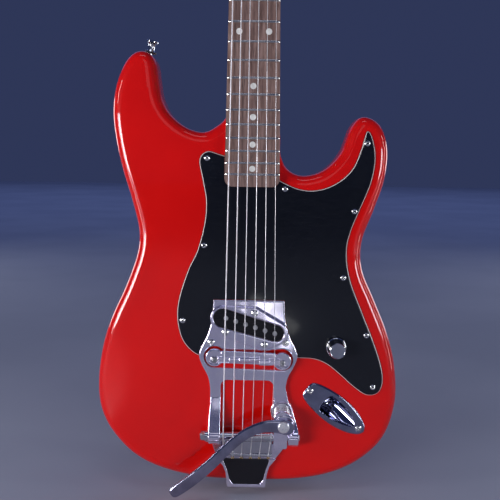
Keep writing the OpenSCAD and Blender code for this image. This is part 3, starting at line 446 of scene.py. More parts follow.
# ---------------------------------------------------------------- materials
class Finish:
    """A Principled material and short ways to add nodes to it."""

    def __init__(self, name, **values):
        self.m = bpy.data.materials.new(name)
        self.m.use_nodes = True
        self.tree = self.m.node_tree
        self.out = self.tree.nodes["Principled BSDF"]
        self.place = self.tree.nodes.new("ShaderNodeTexCoord").outputs["Object"]
        for key, value in values.items():
            self.out.inputs[key.replace("_", " ")].default_value = value

    def feed(self, socket, value):
        """Links a socket to another one, or gives it a value."""
        if isinstance(value, bpy.types.NodeSocket):
            self.tree.links.new(value, socket)
        else:
            socket.default_value = value

    def node(self, kind, **inputs):
        n = self.tree.nodes.new(kind)
        for key, value in inputs.items():
            self.feed(n.inputs[key.replace("_", " ")], value)
        return n

    def spread(self, scale):
        """Object coordinates, stretched."""
        return self.node("ShaderNodeMapping", Vector=self.place, Scale=scale).outputs["Vector"]

    def noise(self, scale, detail=4.0, stretch=(1, 1, 1), rough=0.5, distort=0.0):
        return self.node("ShaderNodeTexNoise", Vector=self.spread(stretch), Scale=scale,
                         Detail=detail, Roughness=rough, Distortion=distort).outputs["Fac"]

    def ramp(self, fac, *stops):
        n = self.node("ShaderNodeValToRGB", Fac=fac)
        e = n.color_ramp.elements
        while len(e) < len(stops):
            e.new(0.5)
        for item, (pos, col) in zip(e, stops):
            item.position = pos
            item.color = (*col, 1)
        return n.outputs["Color"]

    def span(self, fac, lo, hi, out_lo, out_hi):
        n = self.node("ShaderNodeMapRange", Value=fac)
        for key, v in zip(("From Min", "From Max", "To Min", "To Max"), (lo, hi, out_lo, out_hi)):
            n.inputs[key].default_value = v
        return n.outputs["Result"]

    def math(self, kind, a, b):
        n = self.tree.nodes.new("ShaderNodeMath")
        n.operation = kind
        self.feed(n.inputs[0], a)
        self.feed(n.inputs[1], b)
        return n.outputs[0]

    def mix(self, fac, a, b):
        """Between two colours, each a socket or three numbers."""
        n = self.tree.nodes.new("ShaderNodeMix")
        n.data_type = "RGBA"
        for k, v in ((0, fac), (6, a), (7, b)):
            self.feed(n.inputs[k], (*v, 1) if isinstance(v, tuple) else v)
        return n.outputs[2]

    def bump(self, height, strength, depth, under=None):
        """Depth in mm; under is a bump that this one lies on."""
        n = self.node("ShaderNodeBump", Height=height, Strength=strength, Distance=depth * MM)
        if under is not None:
            self.feed(n.inputs["Normal"], under)
        return n.outputs["Normal"]

    def set(self, **links):
        for key, value in links.items():
            self.feed(self.out.inputs[key.replace("_", " ")], value)


def metal(name, low, high, rough, grain, stretch=(1, 1, 1), bump=0.05, bare=1.0, wave=0.0):
    """Bare or plated metal: cloudy tint, fine scratches, smudges; wave is hand polishing, mm deep."""
    f = Finish(name, Metallic=bare)
    cloud = f.noise(60, 5)
    scratch = f.noise(grain, 6, stretch, 0.7)
    tint = f.mix(f.span(cloud, 0.35, 0.65, 0, 1), low, high)
    dull = f.span(f.noise(140, 6, rough=0.65), 0.3, 0.7, rough[0], rough[1])
    under = f.bump(f.noise(24, 1.0, distort=0.4), 1.0, wave) if wave else None
    f.set(Base_Color=tint, Roughness=f.math("ADD", dull, f.span(scratch, 0.55, 0.8, 0, rough[1] - rough[0])),
          Normal=f.bump(scratch, bump, SCRATCH_DEPTH, under))
    return f.m


def plastic(name, colour, rough, speck=0.0, coat=0.0):
    """Moulded plastic: faint mottling, hairlines and a little dust."""
    f = Finish(name, Coat_Weight=coat, Coat_Roughness=0.06, Specular_IOR_Level=0.3)
    mottle = f.noise(220, 5)
    hair = f.noise(500, 4, (0.12, 1, 1), 0.6)
    dust = f.span(f.noise(1600, 2), 0.68, 0.74, 0, speck)
    dark = tuple(c * 0.82 for c in colour)
    base = f.mix(f.span(mottle, 0.35, 0.65, 0, 1), dark, colour)
    base = f.mix(dust, base, (0.5, 0.5, 0.5))
    f.set(Base_Color=base, Roughness=f.span(hair, 0.3, 0.75, rough[0], rough[1]),
          Normal=f.bump(f.noise(420, 4), 0.08, 0.02))
    return f.m


def red_lacquer():
    f = Finish("red_lacquer", Coat_Weight=1.0, Coat_Roughness=0.03, Coat_IOR=1.5, Specular_IOR_Level=0.05)
    cloud = f.noise(9, 4)
    fine = f.noise(900, 3)
    dust = f.span(f.noise(2300, 2), 0.70, 0.76, 0, 0.10)
    base = f.mix(f.span(cloud, 0.3, 0.7, 0, 1), (0.50, 0.0020, 0.0010), (0.60, 0.0035, 0.0016))
    base = f.mix(f.span(fine, 0.4, 0.7, 0, 0.25), base, (0.64, 0.006, 0.003))
    base = f.mix(dust, base, (0.8, 0.3, 0.25))
    peel = f.noise(330, 2)
    swirl = f.noise(1500, 5, (1, 1, 0.15), 0.7)
    f.set(Base_Color=base, Roughness=f.span(swirl, 0.3, 0.8, 0.30, 0.42),
          Normal=f.bump(peel, 0.04, 0.05))
    f.set(Coat_Normal=f.bump(peel, 0.06, 0.05),
          Coat_Roughness=f.span(f.noise(70, 6, rough=0.7), 0.35, 0.75, 0.02, 0.07))
    return f.m


def rosewood():
    f = Finish("rosewood")
    warp = (1, 1, 0.06)
    grain = f.noise(420, 8, warp, 0.62, 0.6)
    bands = f.noise(90, 3, (1, 1, 0.05), 0.5, 1.2)
    pores = f.span(f.noise(1500, 3, (1, 1, 0.045), 0.6), 0.60, 0.68, 0, 1)
    base = f.ramp(grain, (0.28, (0.084, 0.042, 0.034)), (0.5, (0.194, 0.116, 0.098)),
                  (0.72, (0.322, 0.212, 0.185)))
    base = f.mix(f.span(bands, 0.42, 0.6, 0, 0.6), base, (0.089, 0.050, 0.044))
    base = f.mix(f.math("MULTIPLY", pores, 0.8), base, (0.012, 0.006, 0.005))
    low = f.math("SUBTRACT", f.math("MULTIPLY", grain, 0.4), pores)
    f.set(Base_Color=base, Roughness=f.span(grain, 0.3, 0.7, 0.38, 0.6), Normal=f.bump(low, 0.35, 0.08))
    return f.m


def maple():
    f = Finish("maple", Coat_Weight=0.6, Coat_Roughness=0.08)
    grain = f.noise(260, 7, (1, 1, 0.05), 0.6, 0.5)
    rays = f.noise(1300, 3, (1, 1, 0.12), 0.6)
    flame = f.noise(60, 2, (0.4, 0.4, 1.6), 0.5, 0.4)
    base = f.ramp(grain, (0.3, (0.50, 0.29, 0.115)), (0.55, (0.64, 0.40, 0.18)), (0.75, (0.70, 0.47, 0.23)))
    base = f.mix(f.span(flame, 0.45, 0.7, 0, 0.28), base, (0.46, 0.26, 0.10))
    base = f.mix(f.span(rays, 0.62, 0.75, 0, 0.4), base, (0.40, 0.22, 0.09))
    f.set(Base_Color=base, Roughness=f.span(grain, 0.3, 0.7, 0.28, 0.42),
          Normal=f.bump(rays, 0.06, 0.03))
    return f.m


def bone():
    f = Finish("bone", Subsurface_Weight=0.08)
    grain = f.noise(700, 5, (0.15, 1, 1))
    f.set(Base_Color=f.ramp(grain, (0.3, (0.62, 0.55, 0.40)), (0.7, (0.80, 0.75, 0.62))),
          Roughness=f.span(grain, 0.3, 0.7, 0.28, 0.45), Normal=f.bump(grain, 0.06, 0.02))
    return f.m


def felt():
    f = Finish("black_felt", Sheen_Weight=0.6, Sheen_Roughness=0.5)
    fibre = f.noise(3500, 6, rough=0.75)
    f.set(Base_Color=f.ramp(fibre, (0.3, (0.006, 0.006, 0.007)), (0.75, (0.035, 0.035, 0.04))),
          Roughness=f.span(fibre, 0.3, 0.7, 0.85, 1.0), Normal=f.bump(fibre, 0.9, 0.3))
    return f.m


def wound(name, pitch, tint):
    """Steel string; bands along its length are the winding, darker in the grooves between turns as painted
    shade.
    """
    f = Finish(name, Metallic=0.75)
    wave = f.tree.nodes.new("ShaderNodeTexWave")
    wave.wave_type, wave.bands_direction, wave.wave_profile = "BANDS", "Z", "SIN"
    f.tree.links.new(f.place, wave.inputs["Vector"])
    wave.inputs["Scale"].default_value = BAND_PERIOD / (pitch * MM)
    wave.inputs["Distortion"].default_value = 0.0
    turns = wave.outputs["Fac"]
    wear = f.noise(90, 4)
    dark = tuple(c * 0.72 for c in tint)
    # painted shade: the grooves between the winding's turns are darker
    base = f.mix(f.span(turns, 0.0, 0.55, 0, 1), dark, tint)
    base = f.mix(f.span(wear, 0.4, 0.7, 0, 0.35), base, (tint[0] * 0.75, tint[1] * 0.68, tint[2] * 0.6))
    f.set(Base_Color=base, Roughness=f.span(wear, 0.3, 0.7, 0.34, 0.46), Normal=f.bump(turns, 0.3, 0.08))
    return f.m


LACQUER = red_lacquer()
BLACK = plastic("black_plastic", (0.005, 0.006, 0.009), (0.12, 0.26), 0.05, 0.5)
BOBBIN_BLACK = plastic("bobbin_plastic", (0.005, 0.005, 0.007), (0.22, 0.38), 0.10)
PANEL_BLACK = plastic("panel_plastic", (0.004, 0.004, 0.006), (0.10, 0.22), 0.06, 0.6)
WHITE = plastic("white_plastic", (0.74, 0.74, 0.72), (0.25, 0.4), 0.1)
DOT = plastic("dot_plastic", (0.78, 0.78, 0.74), (0.2, 0.35), 0.1, 0.3)
COVER = plastic("wire_cover", (0.7, 0.68, 0.6), (0.35, 0.5))
CHROME = metal("chrome", (0.62, 0.63, 0.66), (0.72, 0.73, 0.76), (0.03, 0.10), 1100, bump=0.03)
# Cast aluminium: grey metal with a purple-blue tint that is painted reflection of blue surroundings
CAST_PAINTED_BLUE = metal("cast_aluminium", (0.82, 0.78, 0.96), (0.90, 0.86, 0.99), (0.08, 0.13), 500, (1, 1, 0.15),
             0.02, bare=0.92, wave=1.3)
# Arm: darker and bluer than the cast metal; the dark blue is painted reflection of dark surroundings
ARM_METAL_PAINTED_DARK = metal("arm_aluminium_painted_dark_reflection", (0.30, 0.30, 0.40), (0.44, 0.44, 0.58), (0.08, 0.13), 700, (1, 1, 0.2),
                  0.02, bare=0.97, wave=1.0)
# Jack plate: a darker, bluer copy of chrome; the dark blue is painted reflection of dark surroundings
JACK_CHROME_PAINTED_DARK = metal("jack_chrome_painted_dark_reflection", (0.30, 0.31, 0.42), (0.40, 0.41, 0.54), (0.03, 0.07), 1100,
                    bump=0.03, wave=0.8)
SPRING_STEEL = metal("spring_steel", (0.66, 0.66, 0.70), (0.78, 0.78, 0.82), (0.22, 0.34), 900, bare=0.75)
SCREW = metal("screw_steel", (0.60, 0.60, 0.61), (0.74, 0.74, 0.74), (0.12, 0.28), 1300)
POLE = metal("pole_steel", (0.45, 0.45, 0.46), (0.62, 0.62, 0.62), (0.25, 0.42), 1500)
DARK_STEEL = metal("dark_steel", (0.30, 0.30, 0.31), (0.42, 0.42, 0.43), (0.3, 0.5), 900)
FRET = metal("fret_metal", (0.62, 0.61, 0.57), (0.74, 0.73, 0.69), (0.12, 0.26), 1200, (0.2, 1, 1))
BRASS = metal("brass_parts", (0.62, 0.42, 0.16), (0.80, 0.58, 0.25), (0.18, 0.34), 900)
COPPER = metal("copper_wire", (0.45, 0.18, 0.08), (0.62, 0.28, 0.13), (0.2, 0.35), 2500, (1, 0.1, 1))
PLAIN_STRING = metal("plain_string", (0.66, 0.66, 0.69), (0.78, 0.78, 0.81), (0.26, 0.38), 1500, bare=0.75)
WOUND = [wound("wound_string_%d" % (i + 1), STRING_R[i] * 0.62, (0.74, 0.73, 0.78)) for i in range(3)]
STRING_METALS = WOUND + [PLAIN_STRING] * 3
ROSEWOOD = rosewood()
MAPLE = maple()
BONE = bone()
FELT = felt()


# ---------------------------------------------------------------- body
def contour(x, z, ball):
    """How deep a ball scoops the body at a place, with a soft start."""
    cx, cz, radius, reach = ball
    flat = radius * radius - (x - cx) ** 2 - (z - cz) ** 2
    d = math.sqrt(max(flat, 0)) - reach
    return 0.5 * (d + math.sqrt(d * d + SCOOP_SOFT))


def carve(x, y, z):
    """The arm contour at the front and the belly contour at the back."""
    share = min(abs(y) / HALF_T, 1)
    if y < 0:
        return y + share * contour(x, z, ARM_SCOOP)
    return y - share * contour(x, z, BELLY_SCOOP)


def body_faces(outline, step=6.5, margin=2.5):
    """Points and triangles that fill an outline."""
    lo, hi = outline.min(0), outline.max(0)
    grid = np.array([(x, z) for x in np.arange(lo[0], hi[0], step)
                     for z in np.arange(lo[1], hi[1], step)])
    grid = grid[inside(grid, outline)]
    gap = np.min(np.linalg.norm(grid[:, None, :] - outline[None, :, :], axis=2), axis=1)
    grid = grid[gap > margin]
    n = len(outline)
    points = [Vector(p) for p in outline] + [Vector(p) for p in grid]
    got = delaunay_2d_cdt(points, [(i, (i + 1) % n) for i in range(n)], [], 1, 1e-5)
    origin = [ids[0] for ids in got[3]]
    return grid, [[origin[i] for i in tri] for tri in got[2]]


def on_jack(points):
    """Jack-plate coordinates to body coordinates."""
    a = math.radians(JACK_TURN)
    return np.array([(JACK_X + p[0] * math.cos(a) + p[1] * math.sin(a),
                      JACK_Z - p[0] * math.sin(a) + p[1] * math.cos(a)) for p in points])


def pill(ends, radii, n=28):
    """Outline round two circles."""
    (x0, z0), (x1, z1) = ends
    lean = math.atan2(z1 - z0, x1 - x0)
    tilt = math.asin((radii[0] - radii[1]) / math.hypot(x1 - x0, z1 - z0))
    out = []
    for k in range(n + 1):
        a = lean + math.pi / 2 - tilt + k / n * (math.pi + 2 * tilt)
        out.append((x0 + radii[0] * math.cos(a), z0 + radii[0] * math.sin(a)))
    for k in range(n + 1):
        a = lean - math.pi / 2 + tilt + k / n * (math.pi - 2 * tilt)
        out.append((x1 + radii[1] * math.cos(a), z1 + radii[1] * math.sin(a)))
    return np.array(out)


def build_body():
    outline = ring(BODY_PTS, 8)
    n = len(outline)
    normal = inward(outline, 7)
    edge_steps = 8
    turns = [math.radians(90 - 90 * k / edge_steps) for k in range(edge_steps + 1)]
    rows = [(EDGE_R * (1 - math.cos(a)), -(HALF_T - EDGE_R) - EDGE_R * math.sin(a)) for a in turns]
    rows += [(0, -6), (0, 6)]
    rows += [(d, -y) for d, y in rows[edge_steps::-1]]
    verts = [(p[0], y, p[1]) for d, y in rows for p in outline + normal * d]
    m = len(rows)
    faces = stacked(m, n)[:-2]      # the two ends are filled below
    grid, tris = body_faces(outline + normal * EDGE_R)
    for base, y in ((0, -HALF_T), ((m - 1) * n, HALF_T)):
        start = len(verts)
        verts += [(p[0], y, p[1]) for p in grid]
        faces += [[base + i if i < n else start + i - n for i in tri] for tri in tris]
    verts = [Vector((x, carve(x, y, z), z)) * MM for x, y, z in verts]
    w, top_w = HEEL_W / 2 + 0.15, board_w(POCKET_TOP_Z) / 2 + 0.3
    pocket = np.array([(-w, BOARD_END_Z - 0.2), (w, BOARD_END_Z - 0.2),
                       (top_w, POCKET_TOP_Z), (-top_w, POCKET_TOP_Z)])
    jack_hole = on_jack(pill([(-14, 0), (24, 0)], [13, 8.5]))
    slot_hole = pill([(-28.3, 182.6), (26.9, 167.2)], [11.4, 10])
    mesh = cut(plain_mesh("body", (verts, faces)), slab(pocket, POCKET_H, OUT_H),
               slab(jack_hole, JACK_CAVITY_H, OUT_H), slab(slot_hole, PICKUP_CAVITY_H, OUT_H))
    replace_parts(finished("body_shell", mesh, LACQUER, "guitar", 38), "body")


def rounded_end(w0, z0, w1, z1, n=10):
    """Outline from a rounded end at z0 to a square one at z1; half widths."""
    turns = [math.pi / 2 * k / n for k in range(n + 1)]
    corner = [(w0 - BOARD_CORNER_R * (1 - math.sin(a)), z0 + BOARD_CORNER_R * (1 - math.cos(a)))
              for a in turns]
    return np.array([(-x, z) for x, z in corner[::-1]] + corner + [(w1, z1), (-w1, z1)])


# ---------------------------------------------------------------- pickguard
def frame_outline(grow):
    half = trail(FRAME_SIDE, 10)
    right = [(FRAME_X + p[0] + grow, p[1]) for p in half]
    left = [(FRAME_X - p[0] - grow, p[1]) for p in half[::-1]]
    right[0] = (right[0][0], right[0][1] + grow)
    left[-1] = (left[-1][0], left[-1][1] + grow)
    return np.array(right + left)


def build_guard():
    outline = ring(GUARD_PTS, 8)
    w = HEEL_W / 2 + 0.4
    neck_gap = rounded_end(w, BOARD_END_Z - 0.4, w, 430)
    metal_gap = frame_outline(0.3)[::-1]
    through = (-3, 6)

    def layer(h0, h1, d0, d1):
        """Between two heights; the outline is drawn in by d0 at the lower one and d1 at the upper."""
        row = outline + inward(outline, 5) * d0
        part = slab(row, h0, h1, d1 - d0, spread=5)
        return cut(plain_mesh("ply", part), slab(neck_gap, *through), slab(metal_gap, *through))

    for name, *shape in (("guard_lower_ply", 0.0, 0.75, 0.0, 0.45),
                         ("guard_upper_ply", 1.5, 2.05, 1.05, 1.5),
                         ("guard_top_ply", 2.05, GUARD_T, 1.5, 1.8)):
        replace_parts(finished(name, layer(*shape), BLACK, "guitar", 20), "pickguard")
    core = layer(0.75, 1.5, 0.45, 1.05)
    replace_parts(finished("guard_white_ply", core, WHITE, "guitar", 20), "pickguard_core")


# ---------------------------------------------------------------- screws
def cross_head(radius, dome, rim, recess=0.75, width=0.42, rings=20, segments=72):
    """Phillips head: a dome over a thin rim, with a cross-shaped recess; axis Z, mm."""
    reach, side_blur, end_blur, shallower = radius * 0.56, 0.06, 0.10, 0.35

    def height(x, y):
        r = math.hypot(x, y) / radius
        near, far = sorted((abs(x), abs(y)))
        across = 1 / (1 + math.exp((near - width) / side_blur))
        along = 1 / (1 + math.exp((far - reach) / end_blur))
        return dome * (1 - r * r) - recess * across * along * (1 - shallower * far / radius)

    verts = [Vector((0, 0, height(0, 0))) * MM]
    for k in range(1, rings + 1):
        for s in range(segments):
            a = 2 * math.pi * s / segments
            r = radius * k / rings
            x, y = r * math.cos(a), r * math.sin(a)
            verts.append(Vector((x, y, height(x, y))) * MM)
    for s in range(segments):
        a = 2 * math.pi * s / segments
        verts.append(Vector((radius * math.cos(a), radius * math.sin(a), -rim)) * MM)
    m = segments
    faces = [[0, 1 + s, 1 + (s + 1) % m] for s in range(m)]
    for k in range(rings):
        for s in range(m):
            t = (s + 1) % m
            faces.append([1 + k * m + s, 1 + (k + 1) * m + s, 1 + (k + 1) * m + t, 1 + k * m + t])
    faces.append([1 + rings * m + s for s in range(m)][::-1])
    return verts, faces


def build_screws():
    small = dict(radius=2.9, dome=0.75, rim=1.2)
    large = dict(radius=3.6, dome=1.0, rim=1.0, recess=1.0, width=0.5)
    oval = dict(radius=3.2, dome=0.8, rim=1.2)
    wood = dict(radius=4.3, dome=1.3, rim=1.0, recess=1.3, width=0.6)
    tiny = dict(radius=2.1, dome=0.6, rim=0.6, recess=0.6, width=0.3, rings=14, segments=48)

    def heads(places, h, spin, head):
        return joined(*[moved(cross_head(**head), facing(x, z, h) @ Matrix.Rotation(spin + 0.7 * k, 4, "Z"))
                        for k, (x, z) in enumerate(places)])

    def behind(x, z, h):
        return Matrix.Translation(at(x, h, z)) @ Matrix.Rotation(-math.pi / 2, 4, "X")

    part = heads(GUARD_SCREWS, GUARD_T - 0.05, 0.3, small)
    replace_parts(make("guard_screw_heads", part, SCREW, "guitar", 40), "pickguard_screws")
    part = heads(FRAME_SCREWS, 5.9, 0.5, large)
    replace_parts(make("frame_screw_heads", part, SCREW, "guitar", 40), "frame_screws")
    part = heads(PICKUP_SCREWS, 9.5, 0.2, large)
    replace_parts(make("pickup_screw_heads", part, SCREW, "guitar", 40), "pickup_screws")
    part = heads(on_jack([(-33, 0), (33, 0)]), 1.75, 0.9, oval)
    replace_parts(make("jack_screw_heads", part, SCREW, "guitar", 40), "jack_screws")
    part = joined(*[moved(cross_head(**wood), behind(x, z, -2 * HALF_T - 2.6)
                          @ Matrix.Rotation(0.5 * k, 4, "Z")) for k, (x, z) in enumerate(NECK_SCREWS)])
    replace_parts(make("neck_screw_heads", part, SCREW, "guitar", 40), "neck_screws")
    turn = math.radians(TUNER_TURN)
    dx, dz = TUNER_SCREW
    parts = []
    for i in range(6):
        x, z = post_xz(i)
        x += dx * math.cos(turn) + dz * math.sin(turn)
        z += dz * math.cos(turn) - dx * math.sin(turn)
        parts.append(moved(cross_head(**tiny), behind(x, z, HEAD_BACK_H - 9.2)))
    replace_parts(make("tuner_screw_heads", joined(*parts), SCREW, "guitar", 40), "tuner_screws")


# ---------------------------------------------------------------- neck
def build_neck():
    stations = trail(NECK_STATIONS, 6)
    sides = 40
    verts = []
    for z, depth, power in stations:
        w = board_w(min(z, NUT_Z)) / 2
        for k in range(sides + 1):
            a = math.pi * k / sides
            c, s = math.cos(a), math.sin(a)
            verts.append(at(w * math.copysign(abs(c) ** (2 / power), c),
                            NECK_H - depth * abs(s) ** (2 / power), z))
    shaft = (verts, stacked(len(stations), sides + 1))
    heel = rounded_end(HEEL_W / 2, BOARD_END_Z, board_w(HEEL_TOP_Z) / 2, HEEL_TOP_Z)
    shelf = np.array([(-NUT_W / 2, 782), (NUT_W / 2, 782),
                      (NUT_W / 2, NUT_Z + 9), (-NUT_W / 2, NUT_Z + 9)])
    solid = joined(shaft, slab(heel, HEEL_BOTTOM_H, NECK_H),
                   slab(ring(HEAD_PTS, 10), HEAD_BACK_H, HEAD_H), slab(shelf, -8, NECK_H))
    # where the truss rod's nut is reached
    hollow = np.array([(-4.2, NUT_Z + 6), (4.2, NUT_Z + 6), (4.2, NUT_Z + 20), (-4.2, NUT_Z + 20)])
    mesh = cut(softened(plain_mesh("neck", solid), 0.9, 5), slab(hollow, -6, 8))
    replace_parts(finished("neck_wood", mesh, MAPLE, "guitar", 50), "neck")


def build_frets():
    steps, arc = 28, 10
    crown_h, foot, end_len = 1.1, 1.25, 1.6
    parts = []
    for n in range(1, FRET_COUNT + 1):
        z = fret_z(n)
        half = board_w(z) / 2 - 0.3
        verts = []
        for s in range(steps + 1):
            x = half * (-1 + 2 * s / steps)
            end = max(0.0, abs(x) - (half - end_len)) / end_len
            crown = crown_h * math.sqrt(max(0.0, 1 - 0.75 * end * end))
            base = BOARD_H - arc_drop(x)
            for k in range(arc + 1):
                a = math.pi * k / arc
                verts.append(at(x, base + crown * math.sin(a) ** 0.8 if 0 < k < arc else base - 0.05,
                                z + foot * math.cos(a)))
        parts.append((verts, stacked(steps + 1, arc + 1, flip=True)))
    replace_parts(make("fret_wires", joined(*parts), FRET, "guitar", 50), "frets")


# ---------------------------------------------------------------- strings
def build_strings():
    for i in range(6):
        r = STRING_R[i]
        x, z = post_xz(i)
        reach = POST_R + r + 0.05
        start = at(drum_x(i), SHAFT_H + DRUM_R + r + 0.02, SHAFT_Z)
        crest, nut, past = saddle_at(i), nut_at(i), nut_at(i, 4)
        end = at(x + reach, POST_WRAP_H, z)
        pts = [start, start.lerp(crest, 0.5), start.lerp(crest, 0.97), crest, crest.lerp(nut, 0.02),
               crest.lerp(nut, 0.5), crest.lerp(nut, 0.995), nut, past, past.lerp(end, 0.03),
               past.lerp(end, 0.5), end]
        part = tube(pts, r * MM, 14)
        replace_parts(make("string_%d" % (i + 1), part, STRING_METALS[i], "guitar", 60), "strings")
        turns = 3.2 if i < 3 else 4.5       # round the post
        count = int(turns * 28)
        coil = []
        for k in range(count + 1):
            a = -2 * math.pi * turns * k / count
            h = POST_WRAP_H + (2 * r + 0.08) * turns * k / count
            coil.append(at(x + reach * math.cos(a), h, z + reach * math.sin(a)))
        make("post_turns_%d" % (i + 1), tube(coil, r * MM, 10), STRING_METALS[i], "post_%d" % (i + 1), 60)


def bend(x, h, z, radius, first, step, count):
    """Points on an arc round (x, h, z), in the plane along the strings; angles in degrees."""
    turns = [math.radians(first + step * k) for k in range(count)]
    return [at(x, h + radius * math.sin(a), z + radius * math.cos(a)) for a in turns]


def build_string_ends():
    """Over the drum, down to the rail, and the brass balls under it."""
    barrel = [(0.5, -1.5), (1.2, -1.5), (1.6, -1.1), (1.6, -0.8), (1.15, -0.4), (1.15, 0.4),
              (1.6, 0.8), (1.6, 1.1), (1.2, 1.5), (0.5, 1.5)]
    wires, balls = [], []
    for i in range(6):
        r = STRING_R[i]
        ball = at(rail_x(i), SHAFT_H - 0.4, RAIL_Z - 3.7)
        over_drum = bend(drum_x(i), SHAFT_H, SHAFT_Z, DRUM_R + r, 90, 3, 6)
        over_rail = bend(rail_x(i), SHAFT_H + 0.4, RAIL_Z, RAIL_R + r, 84, 14, 7)
        thick = min(r + 0.22, 0.8)      # where the end is wound round itself
        wires.append(tube(over_drum + over_rail + [ball], [r * MM] * 6 + [thick * MM] * 8, 12))
        balls.append(ring_lathe(barrel, 32, Matrix.Translation(ball) @ Matrix.Rotation(math.pi / 2, 4, "Y")))
    make("string_tails", joined(*wires), PLAIN_STRING, "vibrato", 60)
    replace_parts(make("ball_ends", joined(*balls), BRASS, "vibrato", 40), "string_ends")


# ---------------------------------------------------------------- vibrato
def build_arm():
    path = trail(ARM_PATH, 10)
    wide = trail([(w, 0) for w in ARM_WIDTHS], 10)[:, 0]
    rise = trail([(h, 0) for h in ARM_RISE], 10)[:, 0]
    n, sides = len(path), 28
    verts = []
    for i in range(n):
        t = path[min(i + 1, n - 1)] - path[max(i - 1, 0)]
        t /= np.linalg.norm(t)
        side = np.array([-t[1], t[0]])
        c, w, h = path[i], wide[i] / 2, ARM_H + 2.1 + rise[i]
        for k in range(sides):
            a = 2 * math.pi * k / sides
            u = math.copysign(abs(math.cos(a)) ** 0.55, math.cos(a))
            v = math.copysign(abs(math.sin(a)) ** 0.75, math.sin(a))
            verts.append(at(c[0] + side[0] * w * u, h + 2 * v, c[1] + side[1] * w * u))
    disc = lathe([(0, 0), (8.3, 0), (8.3, 3.7), (7.9, 4), (0, 4)], 72,
                 facing(ARM_X + 3, ARM_Z - 0.4, ARM_H + 0.1))
    mesh = softened(plain_mesh("arm", joined((verts, stacked(n, sides)), disc)), 0.4, 6)
    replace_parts(finished("vibrato_arm_bar", mesh, ARM_METAL_PAINTED_DARK, "arm", 60), "vibrato_arm")


def build_spring():
    turns, wire, foot, top = 4.2, 1.1, 3.5, 16.5
    lo, hi = foot + wire, top - wire
    radius = SPRING_R - wire
    count = int(turns * 40)
    pts = []
    for k in range(count + 1):
        t = k / count
        a = 2 * math.pi * turns * t + 0.6
        pts.append(at(SPRING_X + radius * math.cos(a), lo + (hi - lo) * t,
                      SPRING_Z - SPRING_LEAN * t + radius * math.sin(a)))
    obj = make("spring_coil", tube(pts, wire * MM, 16), SPRING_STEEL, "guitar", 60)
    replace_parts(obj, "return_spring")
    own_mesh(obj)


def build_stud():
    """Arm stud with a shallow domed cap."""
    cap = [(0, 16.6), (3.5, 16.6), (3.5, 26.0), (5.9, 26.1), (6.2, 26.5), (6.15, 27.0), (5.8, 27.6),
           (5.2, 28.0), (4.5, 28.1), (4.3, 28.0), (3.9, 28.05), (2.0, 28.3), (0, 28.38)]
    part = lathe(cap, 72, facing(ARM_X, ARM_Z, 0))
    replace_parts(make("stud_cap", part, SPRING_STEEL, "vibrato", 50), "arm_stud")


# ---------------------------------------------------------------- bridge
def bridge_boss(boss, post):
    """Round end of the bar, dished round its post, which is a little off its centre."""
    rim = [(9.3, 7.0), (9.3, 11.6), (9.05, 12.15), (8.5, 12.4), (7.6, 12.35), (6.2, 12.05), (4.6, 11.95),
           (3.9, 12.1), (3.6, 12.3), (3.3, 12.1), (3.3, 7.0)]
    share = [0, 0, 0, 0, 0, 0.4, 0.9, 1, 1, 1, 1]       # of the post's offset, for each point of the rim
    shift = Vector((post[0] - boss[0], 0, post[1] - boss[1])) * MM
    verts, faces = ring_lathe(rim, 72, facing(*boss, 0))
    return [v + shift * share[k % len(rim)] for k, v in enumerate(verts)], faces


def build_bridge():
    """Bar, bosses and the stepped ridge that carries the strings."""
    flat = np.array([(-29.5, 135.4), (6, 134.6), (24, 133.6), (27.8, 135.4), (27.5, 146.6), (-29.5, 148.3)])
    parts = [rounded_slab(flat, 9.5, 12.5, 0.7)]
    parts += [bridge_boss(boss, post) for boss, post in zip(BRIDGE_BOSSES, BRIDGE_POSTS)]
    half_step = 5.23
    for i in range(6):
        s = saddle_at(i)
        x, z, crest = s.x / MM, s.z / MM, -s.y / MM - HALF_T - STRING_R[i] - ROCK_ROOM
        lo, hi = x - half_step - (1.5 if i == 0 else 0), x + half_step
        ridge = [(-2.7, 10.5), (-2.6, 13.0), (-2.1, 13.9), (-1.3, crest - 0.25), (-0.5, crest),
                 (0.5, crest - 0.02), (1.6, crest - 0.35), (2.9, 13.7), (3.8, 12.6), (4.2, 10.5)]
        verts = [at(px, h, z + dz) for px in (lo, hi) for dz, h in ridge]
        parts.append((verts, stacked(2, len(ridge), flip=True)))
    mesh = softened(plain_mesh("bridge", joined(*parts)), 0.22, 4)
    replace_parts(finished("bridge_casting", mesh, CAST_PAINTED_BLUE, "bridge", 60), "bridge_bar")
    socket = [(0, -16.9), (3.0, -16.9), (3.0, 11.9), (2.85, 12.25), (2.5, 12.4), (1.9, 12.35),
              (1.75, 12.2), (1.7, 6.2), (0, 6.0)]
    collar = [(3.0, 5.0), (5.5, 5.0), (5.5, 6.5), (3.0, 6.5)]
    studs = []
    for x, z in BRIDGE_POSTS:
        studs += [lathe(socket, 48, facing(x, z, 0)), ring_lathe(collar, 48, facing(x, z, 0))]
    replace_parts(make("bridge_studs", joined(*studs), SCREW, "guitar", 40), "bridge_posts")


# ---------------------------------------------------------------- knob
def build_knob():
    profile = [(0, 14.5), (7.4, 14.5), (7.4, 0.6), (10.3, 0.6), (10.75, 0.9), (10.9, 1.5), (10.7, 2.3),
               (10.2, 2.9), (9.7, 3.2), (9.45, 3.8), (9.3, 5.5)]
    for k in range(9):      # grip rings
        h, r = 6.0 + k, 9.25 - 0.045 * k
        profile += [(r, h), (r - 0.13, h + 0.25), (r, h + 0.5)]
    profile += [(8.7, 15.4), (8.5, 16.2), (8.15, 16.8), (7.75, 17.0), (7.5, 16.95), (7.3, 16.8),
                (5, 16.72), (0, 16.7)]
    part = lathe(profile, 96, facing(KNOB_X, KNOB_Z, GUARD_T))
    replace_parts(make("knob_shell", part, CHROME, "volume", 30), "volume_knob")


